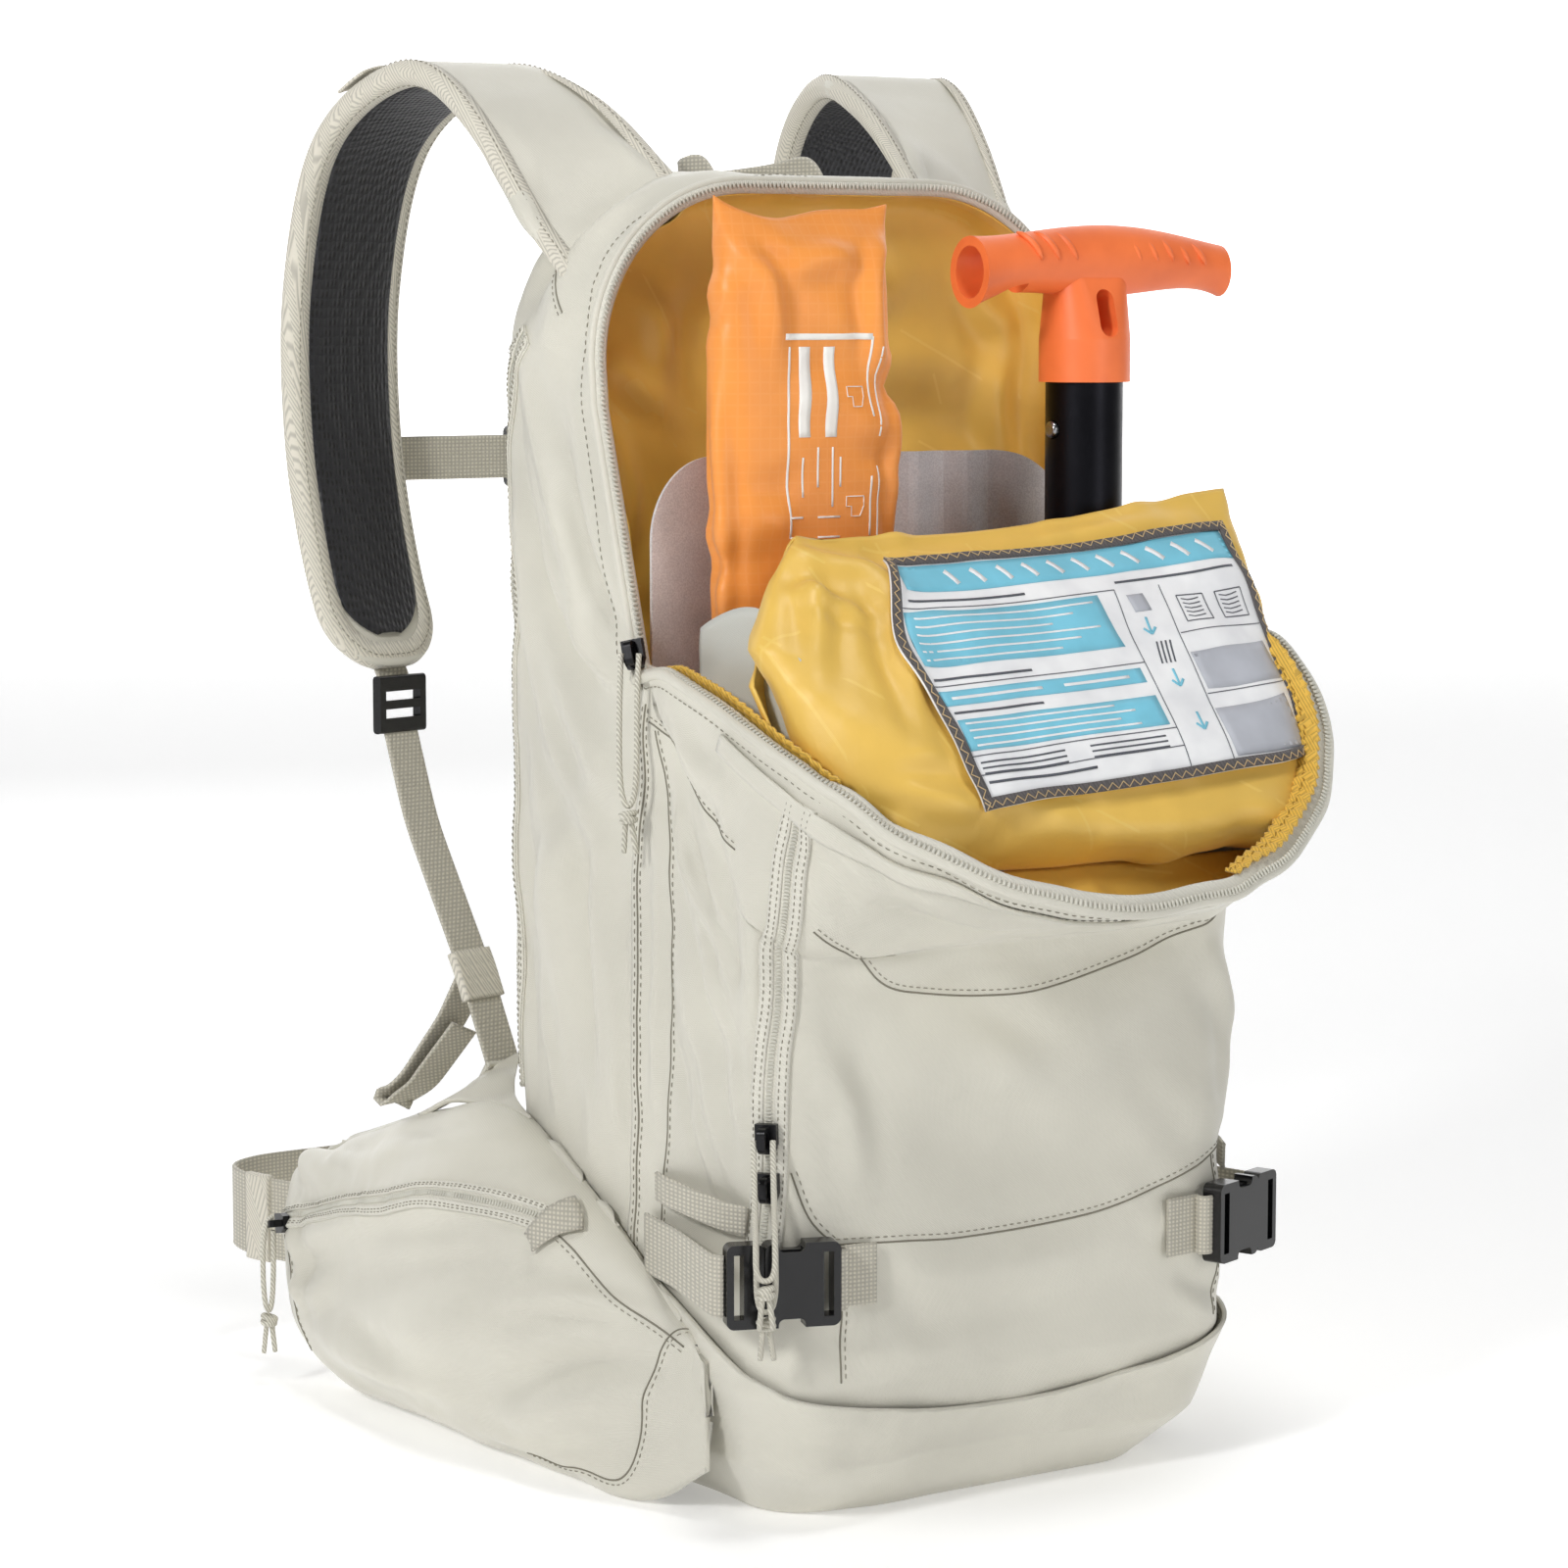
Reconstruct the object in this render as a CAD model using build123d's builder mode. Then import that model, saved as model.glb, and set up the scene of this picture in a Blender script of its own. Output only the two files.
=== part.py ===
"""Ski-touring avalanche backpack, standing on its base with the tool compartment open.

Millimetres, +Z up. The outer face looks towards -Y, the wearer stands on the +Y side,
and +X is the wearer's right. The origin is the middle of the flat base.
"""

from build123d import *
from math import cos, radians, sin, tan
import os

os.makedirs("parts", exist_ok=True)

# Pack body: (height, half width, front, back) of its level sections
BASE_SECTIONS = ((0, 92, -100, 60), (24, 108, -124, 73), (60, 118, -135, 80))
BODY_SECTIONS = ((60, 118, -135, 80), (235, 122, -133, 83), (550, 126, -133, 83))
BODY_CORNER = 26.0
WALL = 3.0
BASE_HEIGHT = 60.0
FRONT_TOP = 235.0
TOP = 545.0
TOP_CORNER = 78.0
TOP_HALF_WIDTH = 126.0
FAR = 200.0
GAP = 0.4
ZIP_THICK = 2.0

# Front edge of the upper body, seen from the side as (Y, Z)
HINGE_Y = -41.0
HINGE_Z = 336.0
ARCH_LINE = ((-41.0, 336.0), (-8.0, 450.0), (0.0, 550.0))
LINING_Y = 20.0
LINING_THICK = 1.2

# Flap that covers the tools
RIM_ANGLE = 112.0
RIM_HALF_WIDTH = 127.0
RIM_REACH = 201.0
RIM_CORNER = 88.0
RIM_BAND = 9.0
RIM_THICK = 5.0
RIM_START = 8.0
GUSSET_THICK = 2.0

# Inner pouch and its card
DIVIDER_BOTTOM = (-150.0, 285.0)
DIVIDER_TOP = (-99.0, 406.0)
DIVIDER_LEFT = -108.0
DIVIDER_RIGHT = 118.0
DIVIDER_THICK = 9.0
CARD_WIDTH = 172.0
CARD_HEIGHT = 106.0
CARD_X = 28.0
CARD_THICK = 1.0
CARD_BINDING = 6.0

# Back and frame
PAD_HEIGHT = 400.0
PAD_WIDTH = 196.0
PAD_THICK = 12.0
PAD_Z = 290.0
SHEET_THICK = 1.6
STAY_WIDTH = 14.0
STAY_THICK = 3.0
STAY_X = 52.0
STAY_LENGTH = 430.0

# Hip belt: (Y, inner X, outer X, low Z, high Z) of the left wing's upright sections
WING_SECTIONS = (
    (-88, -122, -126, 22, 68),
    (-50, -122, -141, 4, 92),
    (0, -123, -158, 1, 120),
    (66, -123, -170, 1, 147),
    (110, -126, -172, 2, 140),
    (165, -137, -170, 4, 122),
    (205, -145, -165, 16, 106),
    (224, -149, -158, 32, 96),
)
WING_WALL = 4.0
BELT_WEB = 38.0
BELT_Z = 70.0
BELT_Y = 290.0
BELT_BUCKLE_HALF = 30.0

# Shoulder straps: upright planes turned outwards, and the path as (reach, height)
HARNESS_Y = 45.0
HARNESS_Z = 553.0
STRAP_ROOT_X = -88.0
STRAP_TURN = 15.4
STRAP_PATH = ((0, 553), (42, 579), (95, 592), (145, 564), (166, 500), (166, 430), (153, 370), (135, 330))
STRAP_WIDTH = 66.0
STRAP_THICK = 11.0
MESH_THICK = 2.0

# Webbing
WEB_THICK = 2.0
SIDE_WEB = 25.0
SIDE_WEB_Z = 107.0
KEEPER_WEB = 12.0
STERNUM_WEB = 20.0
STERNUM_Y = 219.0
STERNUM_Z = 422.0
ADJUSTER_WEB = 20.0

# Avalanche tools
SHAFT_X = 79.0
SHAFT_Y = -70.0
SHAFT_RADIUS = 16.5
SHAFT_WALL = 2.5
SHAFT_TOP = 466.0
SHAFT_LOW = 66.0
BUTTON_Z = 440.0
BUTTON_RADIUS = 4.0
GRIP_SECTIONS = ((19, 506, 15, 14), (45, 510, 12.5, 12.5), (84, 511, 15, 13), (123, 511, 12, 11), (151, 507, 11, 9))
BLADE_LEFT = -113.0
BLADE_RIGHT = 99.0
BLADE_LOW = 136.0
BLADE_TOP = 430.0
BLADE_Y = -32.0
BLADE_THICK = 1.6
BLADE_RIB = 3.4
PROBE_X = -57.0
PROBE_Y = -57.0
PROBE_LOW = 136.0
PROBE_TOP = 538.0
PROBE_WIDTH = 88.0
PROBE_DEPTH = 24.0
SLEEVE_LOW = 133.0

# Zip sliders and their pulls
SLIDER_THICK = 3.2
SLIDER_HOLE = 6.0
KNOT_RADIUS = 3.8
KNOT_HEIGHT = 7.0
TAIL_APART = 2.6
TAIL_RADIUS = 0.9
TAIL_LENGTH = 12.0
PULL_CORD = 2.4
PULL_SPREAD = 7.6


def save(part, name):
    """Labels a finished piece and writes its STEP file."""
    part.label = name
    export_step(part, f"parts/{name}.step")


def mirrored(part):
    """The same piece on the wearer's right."""
    return mirror(part, about=Plane.YZ)


def save_pair(part, name):
    """Writes a left piece and its mirror image."""
    save(part, f"{name}_left")
    save(mirrored(part), f"{name}_right")


def both_sides(part):
    """A left piece and its mirror image as one group."""
    return Compound(children=[*part.solids(), *mirrored(part).solids()])


# ---------------------------------------------------------------- body volumes

def stack(sections, inset):
    """A solid through rounded level sections, drawn in by the inset."""
    with BuildPart() as solid:
        for height, half_width, front, back in sections:
            with BuildSketch(Plane.XY.offset(height)):
                with Locations((0, (front + back) / 2)):
                    RectangleRounded(
                        2 * (half_width - inset),
                        back - front - 2 * inset,
                        BODY_CORNER - inset,
                    )
        loft(ruled=True)
    return solid.part


def body_block(inset, side_points):
    """The pack's volume, drawn in by the inset and cut to an outline seen from the side."""
    with BuildPart() as block:
        add(stack(BODY_SECTIONS, inset))
        with BuildSketch(Plane.XZ) as arch:
            with Locations((0, (TOP - inset) / 2)):
                Rectangle(2 * (TOP_HALF_WIDTH - inset), TOP - inset)
            fillet(arch.vertices().sort_by(Axis.Y)[-2:], TOP_CORNER - inset)
        extrude(amount=FAR, both=True, mode=Mode.INTERSECT)
        with BuildSketch(Plane.YZ):
            with BuildLine():
                Polyline(*side_points, close=True)
            make_face()
        extrude(amount=FAR, both=True, mode=Mode.INTERSECT)
    return block.part


def less(solid, cutter):
    """The first solid with the second one removed."""
    with BuildPart() as rest:
        add(solid)
        add(cutter, mode=Mode.SUBTRACT)
    return rest.part


def arch_line(forward):
    """The upper body's front edge seen from the side, moved forward."""
    return [(y - forward, z) for y, z in ARCH_LINE]


def make_base_cup():
    """Base panel: a shallow cup that the pack stands on."""
    inner = stack(BASE_SECTIONS, WALL)
    with BuildPart() as cup:
        add(stack(BASE_SECTIONS, 0))
        add(inner.moved(Location((0, 0, WALL))), mode=Mode.SUBTRACT)
    return cup.part


def make_main_shell():
    """Sides, back and top of the main compartment, open to the front."""
    outer = [(HINGE_Y, BASE_HEIGHT), *arch_line(0), (FAR, TOP + 5), (FAR, BASE_HEIGHT)]
    inner = [
        (HINGE_Y - FAR, 0), (HINGE_Y - FAR, TOP), (BODY_SECTIONS[-1][3], TOP),
        (BODY_SECTIONS[-1][3], 0),
    ]
    return less(body_block(0, outer), body_block(WALL, inner))


def make_front_shell():
    """Front and side walls of the lower front, open at the top."""
    outer = [(-FAR, BASE_HEIGHT), (-FAR, FRONT_TOP), (HINGE_Y, FRONT_TOP), (HINGE_Y, BASE_HEIGHT)]
    inner = [(-FAR, 0), (-FAR, TOP), (0, TOP), (0, 0)]
    return less(body_block(0, outer), body_block(WALL, inner))


def room_outline(inset):
    """The tool compartment seen from the side."""
    return [
        (LINING_Y - inset, BASE_HEIGHT + inset), (-FAR, BASE_HEIGHT + inset),
        (-FAR, FRONT_TOP + inset), (HINGE_Y - inset, FRONT_TOP + inset),
        *arch_line(inset), (LINING_Y - inset, TOP + 5),
    ]


def make_tool_lining():
    """Lining of the tool compartment: a tray with a back wall, sides and a floor."""
    return less(
        body_block(WALL + GAP, room_outline(0)),
        body_block(WALL + GAP + LINING_THICK, room_outline(LINING_THICK)),
    )


def make_tool_sleeve():
    """Low inner pocket that the blade and the probe bag stand in."""
    with BuildPart() as sleeve:
        with BuildSketch(Plane.XY.offset(SLEEVE_LOW)):
            with Locations((-27.5, -27.7)):
                Rectangle(169, 92)
        extrude(amount=-2)
        with BuildSketch(Plane.XY.offset(SLEEVE_LOW)):
            with Locations((-27.5, -72.8)):
                Rectangle(169, 1.8)
        extrude(amount=95)
    return sleeve.part


def make_arch_zip():
    """Body half of the compartment's zip, along the arch."""
    slab = [*arch_line(0)[::-1], *arch_line(4)]
    raised = [(y, max(z, HINGE_Z + RIM_START)) for y, z in slab]
    raised[2] = (HINGE_Y + 2.3, HINGE_Z + RIM_START)
    raised[3] = (HINGE_Y - 1.7, HINGE_Z + RIM_START)
    wide = [(-FAR, 0), (-FAR, TOP + 5), (FAR, TOP + 5), (FAR, 0)]
    return less(body_block(-1.5, raised), body_block(7, wide))


# ---------------------------------------------------------------- flap

def flap_plane(shift):
    """The open flap's plane through the hinge line, with y running down the flap."""
    slope = radians(RIM_ANGLE)
    down = Vector(0, -sin(slope), cos(slope))
    normal = Vector(1, 0, 0).cross(down)
    return Plane(origin=(0, HINGE_Y, HINGE_Z), x_dir=(1, 0, 0), z_dir=normal).offset(shift)


def make_flap_rim():
    """Flap half of the zip: a band round three sides of the flap."""
    with BuildPart() as rim:
        with BuildSketch(flap_plane(-RIM_THICK / 2)) as band:
            with Locations((0, RIM_REACH / 2)):
                Rectangle(2 * RIM_HALF_WIDTH, RIM_REACH)
            fillet(band.vertices().sort_by(Axis.Y)[-2:], RIM_CORNER)
            with BuildSketch(mode=Mode.SUBTRACT) as hole:
                with Locations((0, RIM_REACH / 2 - RIM_BAND)):
                    Rectangle(2 * (RIM_HALF_WIDTH - RIM_BAND), RIM_REACH)
                fillet(hole.vertices().sort_by(Axis.Y)[-2:], RIM_CORNER - RIM_BAND)
            with Locations((0, RIM_START / 2)):
                Rectangle(4 * RIM_HALF_WIDTH, RIM_START, mode=Mode.SUBTRACT)
        extrude(amount=RIM_THICK)
    return rim.part


def flap_scoop(inset, lift):
    """The flap's volume from the front wall's top edge to the rim."""
    with BuildPart() as scoop:
        with BuildSketch(Plane.XY.offset(FRONT_TOP - lift)) as seam:
            with Locations((0, (HINGE_Y - 1 - 133 + inset) / 2)):
                Rectangle(2 * (122 - inset), 133 - inset + HINGE_Y - 1)
            fillet(seam.vertices().sort_by(Axis.Y)[:2], BODY_CORNER)
        with BuildSketch(flap_plane(RIM_THICK / 2 - 2 * lift)) as mouth:
            with Locations((0, (RIM_REACH - inset + 3) / 2)):
                Rectangle(2 * (RIM_HALF_WIDTH - inset), RIM_REACH - inset - 3)
            fillet(mouth.vertices().sort_by(Axis.Y)[-2:], RIM_CORNER - inset)
        loft(ruled=True)
    return scoop.part


def make_flap_gusset():
    """Soft sides and front between the front wall and the flap's rim."""
    with BuildPart() as gusset:
        add(flap_scoop(0, 0))
        add(flap_scoop(GUSSET_THICK, 0.5), mode=Mode.SUBTRACT)
        with BuildSketch(Plane.XZ.offset(-HINGE_Y)):
            with Locations((0, HINGE_Z - 60)):
                Rectangle(2 * (122 - 6), 130)
        extrude(amount=12, mode=Mode.SUBTRACT)
    return gusset.part


# ---------------------------------------------------------------- inner pouch

def divider_plane(shift):
    """The inner pouch's front face, with y running up the pouch."""
    rise = Vector(0, DIVIDER_TOP[0] - DIVIDER_BOTTOM[0], DIVIDER_TOP[1] - DIVIDER_BOTTOM[1])
    normal = Vector(1, 0, 0).cross(rise.normalized())
    base = Plane(origin=(0, *DIVIDER_BOTTOM), x_dir=(1, 0, 0), z_dir=normal)
    return base.offset(shift)


DIVIDER_LENGTH = Vector(
    DIVIDER_TOP[0] - DIVIDER_BOTTOM[0], DIVIDER_TOP[1] - DIVIDER_BOTTOM[1]
).length


def make_divider_pouch():
    """Flat inner pouch with rounded corners, hollow and open at the top."""
    width = DIVIDER_RIGHT - DIVIDER_LEFT
    centre = (DIVIDER_LEFT + DIVIDER_RIGHT) / 2
    with BuildPart() as pouch:
        with BuildSketch(divider_plane(-DIVIDER_THICK)):
            with Locations((centre, DIVIDER_LENGTH / 2)):
                RectangleRounded(width, DIVIDER_LENGTH, 16)
        extrude(amount=DIVIDER_THICK)
        with BuildSketch(divider_plane(-DIVIDER_THICK + 2)):
            with Locations((centre, DIVIDER_LENGTH / 2 + 10)):
                RectangleRounded(width - 8, DIVIDER_LENGTH, 12)
        extrude(amount=DIVIDER_THICK - 4, mode=Mode.SUBTRACT)
    return pouch.part


def make_card(width, height, thick):
    """A card on the pouch's front face."""
    with BuildPart() as card:
        with BuildSketch(divider_plane(0)):
            with Locations((CARD_X, DIVIDER_LENGTH / 2)):
                Rectangle(width, height)
        extrude(amount=thick)
    return card.part


def make_card_binding():
    """Edge binding round the card."""
    outer = make_card(CARD_WIDTH, CARD_HEIGHT, 1.6 * CARD_THICK)
    inner = make_card(CARD_WIDTH - 2 * CARD_BINDING, CARD_HEIGHT - 2 * CARD_BINDING, 10)
    return less(outer, inner)


# ---------------------------------------------------------------- back and frame

def make_back_pad():
    """Foam back pad with an upright air channel and level grooves."""
    back = BODY_SECTIONS[-1][3]
    with BuildPart() as pad:
        with BuildSketch(Plane.XZ.offset(-back)):
            with Locations((0, PAD_Z)):
                RectangleRounded(PAD_WIDTH, PAD_HEIGHT, 34)
        extrude(amount=-PAD_THICK)
        fillet(pad.faces().sort_by(Axis.Y)[-1].edges(), 5)
        with BuildSketch(Plane.XZ.offset(-back - PAD_THICK)):
            with Locations((0, PAD_Z)):
                Rectangle(26, PAD_HEIGHT)
            with GridLocations(0, 80, 1, 4):
                pass
        extrude(amount=5, mode=Mode.SUBTRACT)
        with BuildSketch(Plane.XZ.offset(-back - PAD_THICK)):
            with Locations(*[(0, PAD_Z + step * 84) for step in (-1.5, -0.5, 0.5, 1.5)]):
                Rectangle(PAD_WIDTH, 9)
        extrude(amount=4, mode=Mode.SUBTRACT)
    return pad.part


def make_frame_sheet():
    """Stiff plastic sheet inside the back."""
    face = BODY_SECTIONS[0][3] - WALL - GAP
    with BuildPart() as sheet:
        with BuildSketch(Plane.XZ.offset(-face)):
            with Locations((0, PAD_Z)):
                RectangleRounded(190, 440, 30)
        extrude(amount=SHEET_THICK)
    return sheet.part


def make_stays():
    """Two flat aluminium stays in front of the frame sheet."""
    face = BODY_SECTIONS[0][3] - WALL - GAP - SHEET_THICK
    with BuildPart() as stay:
        with BuildSketch(Plane.XZ.offset(-face)):
            with Locations((-STAY_X, PAD_Z)):
                RectangleRounded(STAY_WIDTH, STAY_LENGTH, 5)
        extrude(amount=STAY_THICK)
    return both_sides(stay.part)


# ---------------------------------------------------------------- skins on the body

def skin(thick, side_points):
    """A layer of the given thickness on the outside of the body, cut from the side."""
    wide = [(-FAR, 0), (-FAR, TOP + 5), (FAR, TOP + 5), (FAR, 0)]
    return less(body_block(-thick, side_points), body_block(0, wide))


def keep_front(part, points):
    """The part of a solid inside an outline seen from the front."""
    with BuildPart() as kept:
        add(part)
        with BuildSketch(Plane.XZ):
            with BuildLine():
                Polyline(*points, close=True)
            make_face()
        extrude(amount=FAR, mode=Mode.INTERSECT)
    return kept.part


FRONT_STRIP = [(-FAR, 60), (-FAR, FRONT_TOP), (-60, FRONT_TOP), (-60, 60)]


def make_front_panels():
    """Upper and lower panels sewn on the front."""
    upper = [(-90, 132), (-90, 232), (108, 232), (112, 113), (-82, 117)]
    lower = [(-84, 62), (-84, 113), (112, 109), (112, 62)]
    return Compound(children=[
        *keep_front(skin(1.5, FRONT_STRIP), upper).solids(),
        *keep_front(skin(2.2, FRONT_STRIP), lower).solids(),
    ])


def make_front_zip():
    """Upright zip on the left front corner."""
    outline = [(-130, 130), (-130, 233), (-108, 233), (-108, 130)]
    corner = [(-FAR, 60), (-FAR, FRONT_TOP), (-116, FRONT_TOP), (-116, 60)]
    return keep_front(skin(ZIP_THICK, corner), outline)


# ---------------------------------------------------------------- hip belt

def wing_block(sections, grow, inset):
    """A solid through the wing's upright sections, moved outwards or drawn in."""
    with BuildPart() as block:
        for y, inner, outer, low, high in sections:
            thick = inner - outer - 2 * inset
            with BuildSketch(Plane.XZ.offset(-y)):
                with Locations(((inner + outer) / 2 - grow, (low + high) / 2)):
                    RectangleRounded(thick, high - low - 2 * inset, 0.46 * thick)
        loft(ruled=True)
    return block.part


def make_wing():
    """Left hip-belt wing with the hollow of its zipped pocket."""
    return less(wing_block(WING_SECTIONS, 0, 0), wing_block(WING_SECTIONS[1:-1], 0, WING_WALL))


def ribbon(plane, points, width, thick, corner):
    """A flat band along a path drawn on a plane, its width square to the plane."""
    with BuildPart() as band:
        with BuildLine(plane) as path:
            FilletPolyline(*points, radius=corner)
        start = Plane(origin=path.line @ 0, x_dir=plane.z_dir, z_dir=path.line % 0)
        with BuildSketch(start):
            Rectangle(width, thick)
        sweep()
    return band.part


def make_belt_zip():
    """Pocket zip along the left wing."""
    with BuildPart() as strip:
        add(wing_block(WING_SECTIONS, ZIP_THICK, 0))
        add(wing_block(WING_SECTIONS, 0, 0), mode=Mode.SUBTRACT)
        with BuildSketch(Plane.YZ):
            with BuildLine():
                Polyline((-4, 129), (-4, 115), (214, 66), (214, 80), close=True)
            make_face()
        extrude(amount=-FAR, mode=Mode.INTERSECT)
    return strip.part


def make_belt_web(end):
    """Left belt webbing from the wing's tip to its buckle half."""
    tip = WING_SECTIONS[-1]
    start = ((tip[1] + tip[2]) / 2, tip[0] + 0.6)
    points = (start, (-166, 262), (-140, BELT_Y), (end, BELT_Y))
    return ribbon(Plane.XY.offset(BELT_Z), points, BELT_WEB, WEB_THICK, 14)


# ---------------------------------------------------------------- shoulder straps

TURN = radians(STRAP_TURN)
STRAP_OUT = Vector(-sin(TURN), cos(TURN), 0)
STRAP_ACROSS = Vector(cos(TURN), sin(TURN), 0)


def strap_plane(shift):
    """The left strap's upright plane: x is the reach backwards, y is the height."""
    return Plane(
        origin=Vector(STRAP_ROOT_X, HARNESS_Y, 0) + STRAP_ACROSS * shift,
        x_dir=STRAP_OUT,
        z_dir=STRAP_OUT.cross(Vector(0, 0, 1)),
    )


def strap_band(width, thick, sink, corner):
    """A band that follows the strap's path, moved towards the wearer by the sink."""
    with BuildPart() as band:
        with BuildLine(strap_plane(0)) as path:
            Spline(*STRAP_PATH)
        start = Plane(origin=path.line @ 0, x_dir=STRAP_ACROSS, z_dir=path.line % 0)
        with BuildSketch(start):
            with Locations((0, sink)):
                RectangleRounded(width, thick, corner)
        sweep()
    return band.part


def strap_point(reach, height, shift):
    """A point beside the left strap."""
    return Vector(STRAP_ROOT_X, HARNESS_Y, height) + STRAP_OUT * reach + STRAP_ACROSS * shift


def make_ladder_lock():
    """Three-bar adjuster under the left strap's end."""
    with BuildPart() as lock:
        with BuildSketch(strap_plane(0)):
            with Locations((131, 314)):
                RectangleRounded(5, 26, 2)
        extrude(amount=14, both=True)
        with BuildSketch(Plane(origin=strap_point(131, 314, 0), x_dir=STRAP_ACROSS, z_dir=STRAP_OUT)):
            with Locations((0, -4), (0, 4)):
                Rectangle(ADJUSTER_WEB + 1, 4)
        extrude(amount=6, both=True, mode=Mode.SUBTRACT)
    return lock.part


def make_adjuster_web():
    """Webbing from the ladder lock down to the wing's anchor."""
    points = ((131, 300), (118, 262), (84, 198), (66, 156))
    return ribbon(strap_plane(0), points, ADJUSTER_WEB, WEB_THICK, 20)


def make_anchor():
    """Folded fabric anchor on top of the left wing."""
    with BuildPart() as anchor:
        with BuildSketch(Plane.YZ.offset(-141)):
            with BuildLine():
                Polyline((52, 147.6), (96, 143), (113, 140.5), (112, 152), (104, 154), (70, 150), close=True)
            make_face()
        extrude(amount=4, both=True)
    return less(anchor.part, wing_block(WING_SECTIONS, 0, 0))


def make_sternum_web(end):
    """Left sternum webbing, sewn on the strap's outer face."""
    outer_face = 166 + STRAP_THICK / 2 + WEB_THICK
    sewn = strap_point(outer_face, STERNUM_Z, -6)
    edge = strap_point(outer_face, STERNUM_Z, 28)
    points = ((sewn.X, sewn.Y), (edge.X, edge.Y), (end, edge.Y))
    return ribbon(Plane.XY.offset(STERNUM_Z), points, STERNUM_WEB, WEB_THICK, 16)


def make_haul_loop():
    """Webbing loop on top of the pack."""
    points = ((-28, TOP), (-28, TOP + 26), (28, TOP + 26), (28, TOP))
    return ribbon(Plane.XZ.offset(-62), points, 20, WEB_THICK, 12)


# ---------------------------------------------------------------- buckles

BUCKLE_THICK = 9.0
FEMALE_LENGTH = 31.0
MALE_LENGTH = 15.0
PRONG_LENGTH = 20.0
CAVITY_DEPTH = 21.0


def make_buckle_female(web):
    """Socket half of a side-release buckle: x is the pull, from 0 to its length."""
    width = web + 9
    with BuildPart() as socket:
        with BuildSketch():
            with Locations((FEMALE_LENGTH / 2, 0)):
                RectangleRounded(FEMALE_LENGTH, width, 3.5)
        extrude(amount=BUCKLE_THICK / 2, both=True)
        with BuildSketch(Plane.YZ):
            Rectangle(width - 5, BUCKLE_THICK - 4)
        extrude(amount=CAVITY_DEPTH, mode=Mode.SUBTRACT)
        with BuildSketch():
            with Locations((11, width / 2), (11, -width / 2)):
                RectangleRounded(11, 7, 2.5)
            with Locations((FEMALE_LENGTH - 5, 0)):
                Rectangle(4, web + 1)
        extrude(amount=BUCKLE_THICK, both=True, mode=Mode.SUBTRACT)
    return socket.part


def make_buckle_male(web):
    """Prong half of the same buckle: its plate is at negative x."""
    width = web + 9
    cavity = width - 5 - 2 * GAP
    with BuildPart() as plug:
        with BuildSketch():
            with Locations((-MALE_LENGTH / 2 - GAP, 0)):
                RectangleRounded(MALE_LENGTH, width, 3)
        extrude(amount=BUCKLE_THICK / 2 - 0.5, both=True)
        with BuildSketch():
            with Locations((-MALE_LENGTH + 4.5, 0)):
                Rectangle(4, web + 1)
        extrude(amount=BUCKLE_THICK, both=True, mode=Mode.SUBTRACT)
        with BuildSketch():
            with Locations((PRONG_LENGTH / 2 - 2, (cavity - 4.5) / 2), (PRONG_LENGTH / 2 - 2, (4.5 - cavity) / 2)):
                RectangleRounded(PRONG_LENGTH + 3, 4.5, 1.5)
            with Locations((PRONG_LENGTH / 2 - 3, 0)):
                RectangleRounded(PRONG_LENGTH, 5, 1.5)
        extrude(amount=(BUCKLE_THICK - 4) / 2 - GAP, both=True)
    return plug.part


def place(part, origin, pull, upward=(0, 0, 1)):
    """Puts a buckle at a point, its x along the pull and its width along upward."""
    pull = Vector(*pull).normalized()
    face = pull.cross(Vector(*upward).normalized())
    return part.moved(Plane(origin=origin, x_dir=pull, z_dir=face).location)


SIDE_PULL = Vector(0.94, -0.342, 0).normalized()
SIDE_MOUTH = Vector(-123.7, -132.5, SIDE_WEB_Z)


def make_side_web():
    """Left compression webbing, from the side seam to the plug half."""
    start = SIDE_MOUTH - SIDE_PULL * (MALE_LENGTH + 2 * GAP)
    turn = start - SIDE_PULL * 4
    points = ((start.X, start.Y), (turn.X, turn.Y), (-123.5, -62), (-121.0, -44))
    return ribbon(Plane.XY.offset(SIDE_WEB_Z), points, SIDE_WEB, WEB_THICK, 2.5)


def make_side_keepers():
    """Left front tab that holds the socket half, and the keeper loop on the side."""
    start = SIDE_MOUTH + SIDE_PULL * (FEMALE_LENGTH + GAP)
    turn = start + SIDE_PULL * 4
    tab_points = ((start.X, start.Y), (turn.X, turn.Y), (turn.X, -134.8))
    tab = ribbon(Plane.XY.offset(SIDE_WEB_Z), tab_points, SIDE_WEB, WEB_THICK, 1.8)
    loop_points = ((-120.9, -56), (-124.6, -70), (-124.6, -100), (-121.6, -112))
    loop = ribbon(Plane.XY.offset(132), loop_points, KEEPER_WEB, WEB_THICK, 8)
    return Compound(children=[*tab.solids(), *loop.solids()])


# ---------------------------------------------------------------- zip sliders and pulls

def make_slider():
    """Zip slider: x is along the zip, z is out of the cloth, with a bridge for the pull."""
    with BuildPart() as slider:
        with BuildSketch():
            with BuildLine():
                Polyline((-6, -3), (-2, -4.5), (6, -4.5), (6, 4.5), (-2, 4.5), (-6, 3), close=True)
            make_face()
        extrude(amount=SLIDER_THICK)
        with BuildSketch(Plane.XZ) as side:
            with Locations((0, SLIDER_HOLE)):
                Rectangle(10, 6)
            fillet(side.vertices().sort_by(Axis.Y)[-2:], 2.4)
            with Locations((0, SLIDER_HOLE)):
                RectangleRounded(6.4, 3.0, 1.2, mode=Mode.SUBTRACT)
        extrude(amount=1.6, both=True)
    return slider.part


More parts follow.
